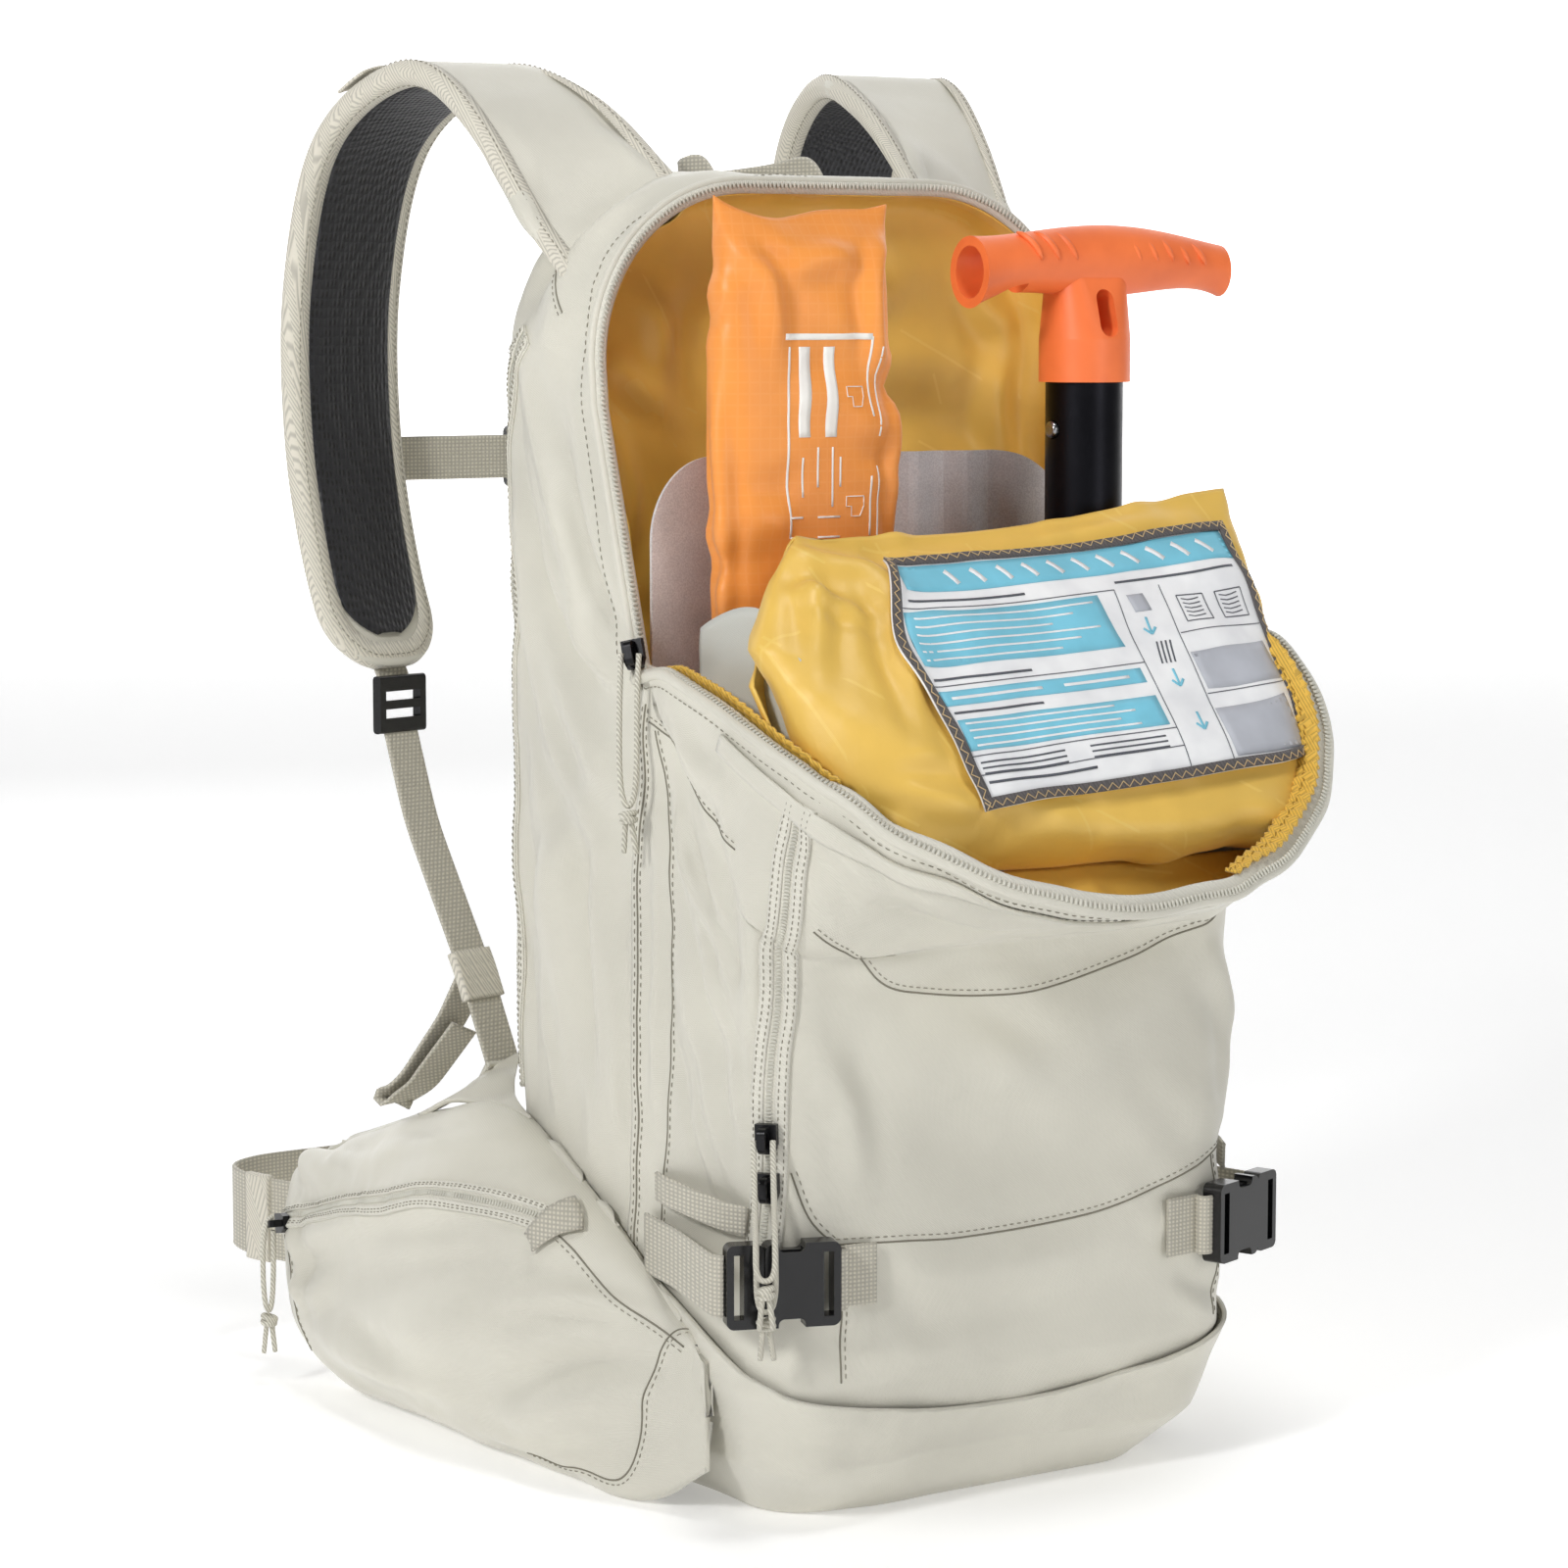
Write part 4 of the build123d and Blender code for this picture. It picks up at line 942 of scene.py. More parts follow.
def side_grid():
    """Side, top and back-edge cloth, from the front seam and the arch to the back panel."""
    line = body_outline(35, 0, 420)
    out = outline_normals(line)
    start = np.where(line[:, 1] < HINGE[1], side_seam_y(line[:, 1]), arch_y(line[:, 1]) + 2)
    rows = []
    flat_share = np.linspace(0, 1, 46)
    for share in flat_share:
        y = start + (PACK_BACK - CORNER - start) * share
        crown = 3.0 * np.sin(math.pi * share) * smoothstep(line[:, 1], 60, 160)
        rows.append(np.stack([line[:, 0] + out[:, 0] * crown, y, line[:, 1] + out[:, 1] * crown], -1))
    for turn in np.linspace(0, math.pi / 2, 12)[1:]:
        pull = (1 - math.cos(turn)) * CORNER
        y = np.full(len(line), PACK_BACK - CORNER + math.sin(turn) * CORNER)
        rows.append(np.stack([line[:, 0] - out[:, 0] * pull, y, line[:, 1] - out[:, 1] * pull], -1))
    rim = rows[-1]
    spine = np.stack([np.zeros(len(line)), rim[:, 1], np.minimum(rim[:, 2], TOP - TOP_CORNER)], -1)
    for share in np.linspace(0, 0.985, 22)[1:]:
        rows.append(rim + (spine - rim) * share)
    return np.stack(rows)


def mirrored_folds(folds, shift=6.0, share=0.9):
    """The same folds on the other side, a little displaced and softer."""
    return [([(-x, y + shift, z - shift) for x, y, z in points], width * 1.1, height * share)
            for points, width, height in folds]


SIDE_FOLDS = [
    ([(-125, 58, 400), (-125, 46, 350), (-125, 20, 300), (-125, -8, 268)], 7, 2.6),
    ([(-125, 10, 380), (-125, -6, 350), (-125, -26, 336)], 4, 1.8),
    ([(-125, 48, 452), (-125, 22, 396), (-125, -12, 348)], 4, -1.8),
    ([(-125, 8, 280), (-125, 2, 200), (-125, -8, 140)], 6, -1.9),
    ([(-125, 40, 220), (-125, 36, 180), (-125, 30, 148)], 5, 1.8),
    ([(-125, -14, 240), (-125, -18, 180), (-125, -16, 120)], 4, 1.6),
    ([(-125, 66, 250), (-125, 50, 200), (-125, 46, 160)], 6, 2.0),
    ([(-125, 52, 478), (-125, 30, 410), (-125, 2, 362), (-125, -28, 344)], 8, 3.2),
    ([(-125, 62, 430), (-125, 38, 360), (-125, 2, 310), (-125, -24, 292)], 10, 3.0),
    ([(-125, 20, 450), (-125, 6, 400), (-125, -22, 352)], 6, -2.6),
    ([(-125, 30, 400), (-125, 14, 366), (-125, -18, 338)], 4, 1.6),
    ([(-125, 44, 330), (-125, 30, 240), (-125, 22, 150)], 13, 2.6),
    ([(-125, -2, 300), (-125, -6, 220), (-125, -4, 130)], 9, 2.0),
    ([(-125, 62, 300), (-125, 58, 220), (-125, 50, 160)], 8, -1.8),
    ([(-118, 30, 500), (-96, 20, 528), (-60, 30, 545)], 8, 2.4),
    ([(-122, 55, 490), (-104, 40, 520), (-84, 28, 538)], 7, -2.2),
    ([(-110, 60, 515), (-80, 50, 540), (-40, 40, 547)], 9, 2.2),
]


def make_side_cloth():
    """The cloth of both sides, the top and the back panel, with its folds."""
    grid = side_grid()
    grid = add_ripples(grid, (0, 0.8, 0.5), 38, 1.2, 3)
    grid = add_folds(grid, SIDE_FOLDS + mirrored_folds(SIDE_FOLDS))
    arch_edge = grid[0, 150:270]
    grid = add_puckers(grid, arch_edge, 17, 9, 0.5, 5)
    piece = cloth_object("side_cloth", grid, "fabric", 2.0)
    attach(piece, "pack")
    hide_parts("main_shell")
    return Sheet(grid)


RIM_MARKS = (
    (0.00, -127.5, -42, 340), (0.05, -128.5, -64, 346), (0.11, -128, -92, 338), (0.17, -126, -118, 327),
    (0.22, -121, -142, 316), (0.27, -112, -165, 303), (0.34, -92, -187, 284), (0.42, -55, -208, 265),
    (0.50, -8, -220, 256), (0.58, 40, -218, 257), (0.66, 82, -207, 268), (0.73, 114, -191, 287),
    (0.79, 131, -174, 309), (0.85, 137, -156, 334), (0.90, 133, -134, 356), (0.95, 130, -92, 352),
    (1.00, 127.5, -42, 340),
)


def front_outline(z, s):
    """Points round the front of the body at heights z, s from the left seam to the right one."""
    z = np.broadcast_to(z, s.shape)
    wide = half_width(z)
    front = front_y(z)
    seam = side_seam_y(z)
    points = np.zeros(s.shape + (3,))
    side_end = 0.185
    arc_end = 0.285
    left = np.minimum(s, 1 - s)
    sign = np.where(s < 0.5, -1.0, 1.0)
    along = np.clip(left / side_end, 0, 1)
    turn = np.clip((left - side_end) / (arc_end - side_end), 0, 1) * math.pi / 2
    across = np.clip((left - arc_end) / (0.5 - arc_end), 0, 1)
    side_y = seam + (front + CORNER - seam) * along
    x = wide - CORNER + np.cos(turn) * CORNER
    y = np.where(left < side_end, side_y, front + CORNER - np.sin(turn) * CORNER)
    x = np.where(left > arc_end, (wide - CORNER) * (1 - across), x)
    points[..., 0] = x * sign
    points[..., 1] = y
    points[..., 2] = z
    return points




def front_grid():
    """Front pocket cloth and, above its fold, the scoop of the open flap."""
    columns = 300
    s = np.linspace(0, 1, columns)
    crown = np.sin(math.pi * np.clip((s - 0.27) / 0.46, 0, 1))
    marks = np.array(RIM_MARKS)
    rim = np.stack([np.interp(s, marks[:, 0], marks[:, k]) for k in (1, 2, 3)], -1)
    smooth_ends_kept(rim, 30)
    base = front_outline(FRONT_TOP, s)
    fold_z = FRONT_TOP + (np.maximum(base[:, 1] - PACK_FRONT, 0) * (HINGE[1] - FRONT_TOP)
                          / (HINGE[0] - PACK_FRONT))
    fold = front_outline(fold_z, s)
    fold[:, 2] = fold_z
    rows = []
    lower = 110
    for share in np.linspace(0, 1, lower):
        z = 35 + (fold_z - 35) * share
        row = front_outline(z, s)
        row[:, 1] -= 4.0 * crown * math.sin(math.pi * min(1.0, share * 1.05)) ** 0.8
        rows.append(row)
    upper = 70
    out = np.stack([np.clip((np.abs(fold[:, 0]) - 96) / 26, 0, 1) * np.sign(fold[:, 0]) * 0.35,
                    -np.clip(1.1 - np.clip((fold[:, 1] + 133) / 60, 0, 1), 0, 1),
                    np.full(columns, 0.55)], -1)
    start_way = unit(out)
    gap = np.linalg.norm(rim - fold, axis=1)[:, None]
    end_way = unit(rim - fold + np.array((0, -4.0, 10.0)))
    for share in np.linspace(0, 1, upper + 1)[1:]:
        a = 2 * share ** 3 - 3 * share ** 2 + 1
        b = share ** 3 - 2 * share ** 2 + share
        c = -2 * share ** 3 + 3 * share ** 2
        d = share ** 3 - share ** 2
        rows.append(a * fold + b * start_way * gap * 0.8 + c * rim + d * end_way * gap * 0.9)
    return np.stack(rows)


FRONT_FOLDS = [
    ([(-125, -62, 300), (-125, -80, 262), (-124, -104, 232)], 4, 2.2),
    ([(-125, -74, 282), (-125, -92, 252), (-123, -112, 226)], 3.5, -1.8),
    ([(-124, -66, 200), (-123, -80, 160), (-121, -96, 128)], 4, 1.9),
    ([(-124, -52, 270), (-123, -50, 220), (-122, -44, 160)], 4, 1.7),
    ([(-90, -138, 240), (-60, -140, 232), (-20, -141, 236)], 7, 1.8),
    ([(20, -140, 236), (60, -140, 240), (96, -136, 246)], 7, 1.8),
    ([(-98, -134, 200), (-84, -136, 170), (-80, -136, 140)], 7, 1.6),
    ([(-70, -137, 108), (-20, -139, 100), (40, -138, 104)], 9, 1.4),
    ([(-80, -134, 76), (-50, -135, 70), (-20, -135, 72)], 7, 1.2),
    ([(70, -136, 112), (96, -132, 100), (110, -122, 84)], 6, 1.8),
    ([(80, -135, 88), (100, -130, 76), (110, -120, 68)], 5, -1.4),
    ([(104, -128, 220), (112, -122, 190), (112, -122, 150)], 5, 1.8),
    ([(-118, -150, 300), (-100, -160, 280), (-84, -158, 258)], 6, 2.4),
    ([(-88, -178, 282), (-50, -190, 266), (-10, -198, 256)], 6, -1.8),
    ([(20, -196, 254), (60, -186, 256), (90, -168, 266)], 7, 2.0),
    ([(-125, -62, 290), (-125, -84, 240), (-125, -104, 190), (-125, -112, 150)], 4, 2.0),
    ([(-125, -66, 230), (-125, -80, 190), (-125, -100, 140)], 7, 2.2),
    ([(-125, -96, 300), (-125, -104, 260), (-125, -110, 215)], 5, -1.6),
    ([(-125, -70, 330), (-125, -84, 310), (-125, -108, 300)], 6, 1.8),
    ([(-119, -121, 300), (-119, -119, 250), (-120, -118, 200)], 5, 1.4),
    ([(-80, -138, 200), (-10, -139, 188), (70, -138, 205)], 16, 1.5),
    ([(-60, -137, 160), (20, -138, 140), (96, -135, 150)], 18, -1.2),
    ([(96, -132, 228), (112, -122, 200), (118, -108, 150)], 8, 2.0),
    ([(100, -130, 200), (116, -112, 170), (120, -90, 120)], 6, -1.8),
    ([(-100, -172, 285), (-60, -170, 262), (-20, -170, 248)], 9, 2.2),
    ([(-96, -150, 262), (-50, -158, 250), (10, -160, 246)], 7, -1.8),
    ([(60, -190, 262), (96, -176, 284), (122, -156, 312)], 8, 2.0),
    ([(-110, -130, 110), (-80, -134, 90), (-50, -134, 84)], 8, 1.2),
]


def blend_flap(piece):
    """Bakes the piece's placement into its mesh."""
    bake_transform(piece)


def make_front_cloth():
    """Grid of the front cloth, from the base seam up to the flap's rim."""
    grid = front_grid()
    grid = add_ripples(grid, (0.3, 0.2, 0.9), 46, 1.0, 11)
    grid = add_folds(grid, FRONT_FOLDS)
    return grid


side_sheet = make_side_cloth()
front_sheet = Sheet(make_front_cloth())




def finish_front_cloth():
    """Make the front cloth and hide the CAD parts it replaces."""
    piece = cloth_object("front_cloth", front_sheet.grid, "fabric", 1.6)
    blend_flap(piece)
    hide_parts("front_shell", "flap_gusset", "front_panels")


finish_front_cloth()


# ---------------------------------------------------------------- base cup

def back_y(z):
    return np.interp(z, (0, 24, 60, 235), (60, 73, 80, 83))


def section_ring(z, grow, count):
    """Rounded outline of the body at height z, from the back's middle round the left side."""
    wide = half_width(z) + grow
    front = front_y(z) - grow
    back = back_y(z) + grow
    radius = CORNER + grow
    quarter = np.linspace(0, math.pi / 2, 10)
    ring = [(0.0, back)]
    ring += [(-wide + radius - math.sin(a) * radius, back - radius + math.cos(a) * radius) for a in quarter]
    ring += [(-wide + radius - math.cos(a) * radius, front + radius - math.sin(a) * radius) for a in quarter]
    half = np.array(ring + [(0.0, front)])
    whole = np.vstack([half, half[::-1][1:] * (-1, 1)])
    return evenly(whole, count + 1)[:-1]


def base_top(x, y):
    """Height of the seam along the base cup's upper edge."""
    front = 43 + 17 * (np.abs(x) / 115) ** 2
    side = np.interp(y, (-133, -101, -44, 12, 49, 83), (60, 71, 94, 113, 132, 118))
    return np.where(np.abs(x) > 112, side, np.where(y < 0, front, 112))


def ring_at(levels, grow, count):
    """Outline points whose heights change round the ring, read between even sections."""
    heights = np.linspace(0, 150, 31)
    table = np.stack([section_ring(level, grow, count) for level in heights])
    place = np.clip(levels / 5.0, 0, 29.999)
    low = place.astype(int)
    part = (place - low)[:, None]
    column = np.arange(count)
    return table[low, column] * (1 - part) + table[low + 1, column] * part


def make_base_cloth():
    """The cup of cloth round the foot of the body."""
    count = 360
    foot = section_ring(0.0, 0, count)
    rows = [np.column_stack([foot * share, np.full(count, 0.4)])
            for share in (0.02, 0.3, 0.6, 0.8, 0.9, 0.96)]
    crest = section_ring(70, 2.0, count)
    top = base_top(crest[:, 0], crest[:, 1])
    for _ in range(8):
        top = (np.roll(top, 1) + 2 * top + np.roll(top, -1)) / 4
    for share in np.linspace(0, 1, 44):
        z = 0.8 + (top - 0.8) * share
        flat = ring_at(z, 2.2, count)
        rows.append(np.column_stack([flat, z]))
    grid = np.stack(rows)[:, ::-1]
    grid = add_ripples(grid, (0.9, 0.2, 0.3), 60, 0.7, 21)
    grid = add_folds(grid, [
        ([(-112, -96, 56), (-100, -122, 42), (-70, -128, 30)], 8, 1.8),
        ([(-60, -128, 22), (-20, -130, 30), (30, -130, 26)], 12, 1.4),
        ([(40, -130, 40), (80, -126, 44), (112, -104, 60)], 9, 1.6),
    ])
    grid = add_puckers(grid, grid[-1, 40:320], 19, 9, 0.5, 23)
    piece = cloth_object("base_cloth", grid, "fabric", 2.0, wrap=True)
    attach(piece, "pack")
    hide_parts("base_panel")
    return Sheet(np.concatenate([grid, grid[:, :1]], axis=1))


base_sheet = make_base_cloth()


# ---------------------------------------------------------------- compartment lining

def smooth_grid(grid, times):
    """The grid with small bumps ironed out."""
    grid = grid.copy()
    for _ in range(times):
        grid[1:-1] = (grid[:-2] + 2 * grid[1:-1] + grid[2:]) / 4
        grid[:, 1:-1] = (grid[:, :-2] + 2 * grid[:, 1:-1] + grid[:, 2:]) / 4
    return grid


LINING_LOW = 132


def lining_grid():
    """Back wall and side walls of the tool compartment, from the wall's middle out to the zip."""
    line = body_outline(LINING_LOW, 6.5, 300)
    spine = np.stack([np.zeros(300), np.minimum(line[:, 1], TOP - TOP_CORNER)], -1)
    start = np.where(line[:, 1] < HINGE[1], -90.0, arch_y(line[:, 1]) + 1)
    start = np.maximum(start, -90)
    inner = 9.0
    rows = []
    for share in np.linspace(0.02, 1, 60):
        flat = spine + (line - spine) * share
        length = np.linalg.norm(line - spine, axis=1)
        reach = np.clip((share * length - (length - inner)) / inner, 0, 1)
        y = LINING_Y - 1 - (1 - np.sqrt(np.maximum(1 - reach ** 2, 0))) * inner
        rows.append(np.stack([flat[:, 0], y, flat[:, 1]], -1))
    edge_y = LINING_Y - 1 - inner
    for share in np.linspace(0, 1, 26)[1:]:
        rows.append(np.stack([line[:, 0], edge_y + (start - edge_y) * share, line[:, 1]], -1))
    return np.stack(rows)


LINING_FOLDS = [
    ([(-114, 2, 462), (-102, 16, 468), (-86, 18, 456), (-70, 18, 446)], 6, 6.0),
    ([(-110, 12, 446), (-98, 18, 432), (-94, 18, 402), (-104, 14, 372)], 7, 5.5),
    ([(-116, 4, 430), (-117, -4, 390), (-117, -16, 350)], 5, 4.0),
    ([(-92, 18, 500), (-78, 18, 484), (-74, 18, 462)], 7, 4.5),
    ([(-60, 18, 505), (-66, 18, 470), (-62, 18, 436)], 9, -3.5),
    ([(-30, 18, 520), (20, 18, 505), (70, 18, 512)], 14, 3.0),
    ([(10, 18, 436), (50, 18, 446), (96, 18, 432)], 15, -5.0),
    ([(10, 18, 414), (50, 18, 424), (100, 18, 410)], 10, 4.5),
    ([(104, 16, 480), (96, 18, 450), (104, 14, 410)], 8, 5.0),
    ([(80, 18, 500), (96, 18, 486), (112, 8, 490)], 7, 4.0),
]


def make_lining():
    """The lining of the tool compartment."""
    grid = lining_grid()
    grid = add_ripples(grid, (0.6, 0.2, 0.7), 30, 1.9, 31, patch=60)
    grid = add_folds(grid, [(points, width * 0.8, height * 0.5) for points, width, height in LINING_FOLDS])
    grid = smooth_grid(grid, 3)
    room = half_width(grid[..., 2]) - 4.0
    grid[..., 0] = np.clip(grid[..., 0], -room, room)
    piece = cloth_object("compartment_lining", grid, "lining", 1.0)
    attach(piece, "pack")
    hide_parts("tool_lining")


make_lining()


# ---------------------------------------------------------------- divider pouch and its card


def on_divider(piece):
    """The piece moves with the divider."""
    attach(piece, "divider")
    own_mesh(piece)


def pouch_grid():
    """Padded pocket panel: rows go up its back, over its top edge and down its belly."""
    columns = 170
    s = np.linspace(0, 1, columns)
    rows = []
    back = [(-118, 286), (-104, 320), (-92, 362), (-90, 398)]
    front = [(-97, 402), (-112, 388), (-138, 356), (-168, 318), (-184, 292), (-186, 278), (-176, 268),
             (-158, 267)]
    spine = curve_through(back + [(-92.5, 407.5)] + front, 150)
    top_row = int(np.argmax(spine[:, 1]))
    for k, (y, z) in enumerate(spine):
        depth = abs(k - top_row) / (150 - top_row)
        left = np.interp(depth, (0, 0.16, 0.34, 0.62, 1), (-82, -100, -116, -106, -90))
        right = np.interp(depth, (0, 0.3, 0.7, 1), (137, 139, 130, 104))
        x = left + (right - left) * s
        edge = np.clip(np.minimum(s, 1 - s) / 0.16, 0, 1)
        plump = np.sqrt(1 - (1 - edge) ** 2)
        middle_y = np.interp(z, (266, 320, 362, 407), (-150, -128, -104, -92.5))
        row_y = middle_y + (y - middle_y) * (0.12 + 0.88 * plump)
        row_y = row_y + 24 * (1 - s) ** 1.6 * smoothstep(depth, 0.55, 0.95) * (k > top_row)
        droop = (4.0 * np.sin(math.pi * s * 1.4) * smoothstep(z, 300, 405)
                 + 7 * (1 - s) * smoothstep(z, 380, 407))
        rows.append(np.stack([x, row_y, z - droop + 3 * s], -1))
    return np.stack(rows), top_row


POUCH_FOLDS = [
    ([(-96, -112, 384), (-78, -120, 372), (-62, -126, 362)], 4, 2.6),
    ([(-104, -126, 344), (-84, -136, 338), (-66, -142, 334)], 4, -2.0),
    ([(-98, -150, 306), (-70, -166, 300), (-40, -174, 296)], 5, 3.0),
    ([(-86, -104, 396), (-90, -120, 372), (-100, -136, 340)], 5, 2.6),
    ([(-60, -184, 286), (-20, -188, 282), (10, -188, 280)], 5, 2.4),
    ([(-112, -110, 360), (-86, -128, 345), (-60, -150, 318)], 7, 4.0),
    ([(-108, -118, 340), (-84, -140, 322), (-66, -162, 300)], 6, -3.5),
    ([(-106, -130, 320), (-80, -158, 306), (-50, -178, 292)], 7, 4.0),
    ([(-92, -98, 398), (-60, -112, 390), (-48, -128, 372)], 7, 3.0),
    ([(-60, -100, 402), (20, -102, 400), (110, -100, 402)], 5, 2.2),
    ([(-58, -116, 384), (-62, -140, 350), (-66, -160, 318)], 5, 3.2),
    ([(-84, -112, 372), (-72, -134, 346), (-70, -150, 328)], 5, -2.4),
    ([(134, -108, 396), (136, -130, 366), (136, -150, 338)], 6, 3.0),
    ([(-40, -186, 285), (30, -188, 282), (110, -180, 288)], 9, 3.0),
]


def make_pouch():
    """The padded pouch that divides the compartment."""
    grid, top_row = pouch_grid()
    grid = grid[:, ::-1]
    grid = add_ripples(grid, (0.5, 0.4, 0.6), 28, 1.5, 41, patch=50)
    grid = add_folds(grid, [(points, width, height * 0.75) for points, width, height in POUCH_FOLDS])
    piece = cloth_object("divider_cloth", grid, "lining", 1.0)
    on_divider(piece)
    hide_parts("divider_pouch")
    return Sheet(grid), top_row


pouch_sheet, pouch_top = make_pouch()
POUCH_ROWS = 150


def pouch_mark(across, down):
    """(s, h) on the pouch's front: across from its left edge, down from its top edge."""
    top = pouch_top / (POUCH_ROWS - 1)
    return (1 - across, top + (1 - top) * down)


CARD_LEFT, CARD_RIGHT = 0.22, 0.965
CARD_TOP, CARD_BOTTOM = 0.10, 0.74


def card_mark(across, down):
    """(s, h) on the pouch of a place on the card, 0 to 1 each way."""
    lean = 0.02 * down
    left = CARD_LEFT - 0.035 * (1 - down)
    right = CARD_RIGHT + lean - 0.02
    low = CARD_BOTTOM - 0.05 * across
    return pouch_mark(left + (right - left) * across, CARD_TOP + (low - CARD_TOP) * down)


def card_point(across, down, lift):
    marks = np.array([card_mark(a, d) for a, d in zip(np.ravel(across), np.ravel(down))])
    points, _ = pouch_sheet.at(marks[:, 0], marks[:, 1], lift)
    return points.reshape(np.shape(across) + (3,))


def make_card():
    """The card's sheet, laid on the pouch's front."""
    across, down = np.meshgrid(np.linspace(0, 1, 90), np.linspace(0, 1, 60))
    grid = smooth_grid(card_point(across, down, 3.4), 14)[::-1]
    grid = add_ripples(grid, (0.4, 0.5, 0.6), 50, 0.6, 51)
    sheet = Sheet(grid)
    card = cloth_object("card_sheet", grid, "card", 0.8)
    on_divider(card)
    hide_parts("divider_card")
    return sheet


card_sheet = make_card()


def card_block(left, top, right, bottom, lift=0.12):
    """A printed block, thin and raised a little, as (points, faces)."""
    middle = (top + bottom) / 2
    wide = (bottom - top) * length_of(card_sheet.grid[:, 45])
    return tape_on(card_sheet, [(left, 1 - middle), ((left + right) / 2, 1 - middle), (right, 1 - middle)],
                   wide, 0.05, lift, step=4.0, across=6)


def card_rule(points, width=0.5, lift=0.16):
    return tape_on(card_sheet, [(x, 1 - y) for x, y in points], width, 0.05, lift, step=3.0, across=2)


def printed(name, parts, paint):
    piece = joined_object(name, parts, paint)
    on_divider(piece)
    return piece


def make_card_print():
    """Generic blocks, rules and arrows: nothing on the card can be read."""
    cyan = [card_block(0.03, 0.045, 0.975, 0.165)]
    cyan += [card_block(0.03, 0.25, 0.56, 0.47), card_block(0.03, 0.565, 0.58, 0.625),
             card_block(0.03, 0.68, 0.585, 0.80)]
    for x, y in ((0.655, 0.40), (0.665, 0.62), (0.675, 0.80)):
        cyan.append(card_rule([(x, y - 0.035), (x, y), (x, y + 0.03)], 1.2))
        cyan.append(card_rule([(x - 0.016, y + 0.01), (x - 0.004, y + 0.03), (x, y + 0.036)], 1.2))
        cyan.append(card_rule([(x + 0.016, y + 0.01), (x + 0.004, y + 0.03), (x, y + 0.036)], 1.2))
    printed("card_cyan_print", cyan, "cyan")
    white = []
    for k in range(11):
        x = 0.16 + 0.072 * k
        white.append(card_rule([(x, 0.075), (x + 0.018, 0.10), (x + 0.036, 0.135)], 2.4, 0.22))
    for row in range(6):
        y = 0.275 + 0.034 * row
        white.append(card_rule([(0.05, y), (0.25, y), (0.53 - 0.06 * (row % 3), y)], 0.9, 0.22))
    for row in range(4):
        y = 0.70 + 0.027 * row
        white.append(card_rule([(0.05, y), (0.25, y), (0.46 + 0.05 * (row % 2), y)], 0.9, 0.22))
    white.append(card_rule([(0.06, 0.595), (0.2, 0.595), (0.3, 0.595)], 1.4, 0.22))
    white.append(card_rule([(0.36, 0.595), (0.45, 0.595), (0.54, 0.595)], 1.4, 0.22))
    printed("card_white_print", white, "card")
    ink = []
    for y, right in ((0.205, 0.36), (0.52, 0.3), (0.655, 0.28), (0.915, 0.34)):
        ink.append(card_rule([(0.04, y), (right / 2, y), (right, y)], 1.1))
    for y in (0.235, 0.545, 0.815, 0.885):
        ink.append(card_rule([(0.02, y), (0.3, y), (0.6, y)], 0.4))
    for x in (0.60, 0.725):
        ink.append(card_rule([(x, 0.235), (x, 0.6), (x, 0.975)], 0.4))
    ink.append(card_rule([(0.61, 0.205), (0.75, 0.205), (0.95, 0.205)], 1.1))
    for y in (0.45, 0.70):
        ink.append(card_rule([(0.73, y), (0.85, y), (0.975, y)], 0.4))
    for x, y in ((0.76, 0.29), (0.87, 0.29)):
        square = [(x, y), (x + 0.075, y), (x + 0.075, y + 0.12), (x, y + 0.12), (x, y)]
        for a, b in zip(square, square[1:]):
            ink.append(card_rule([a, ((a[0] + b[0]) / 2, (a[1] + b[1]) / 2), b], 0.5))
    for k in range(5):
        y = 0.305 + 0.02 * k
        ink.append(card_rule([(0.77, y), (0.79, y + 0.008), (0.82, y)], 0.5))
        ink.append(card_rule([(0.88, y), (0.90, y + 0.008), (0.93, y)], 0.5))
    for k in range(4):
        x = 0.645 + 0.012 * k
        ink.append(card_rule([(x, 0.56), (x + 0.006, 0.51), (x + 0.012, 0.47)], 0.8))
    for row in range(3):
        y = 0.84 + 0.02 * row
        ink.append(card_rule([(0.04, y), (0.15, y), (0.27, y)], 0.7))
        ink.append(card_rule([(0.34, y), (0.45, y), (0.56, y)], 0.7))
    printed("card_ink_print", ink, "card_ink")
    grey = [card_block(0.735, 0.53, 0.97, 0.68), card_block(0.735, 0.76, 0.97, 0.955),
            card_block(0.63, 0.265, 0.675, 0.34)]
    printed("card_grey_print", grey, "card_grey")


make_card_print()


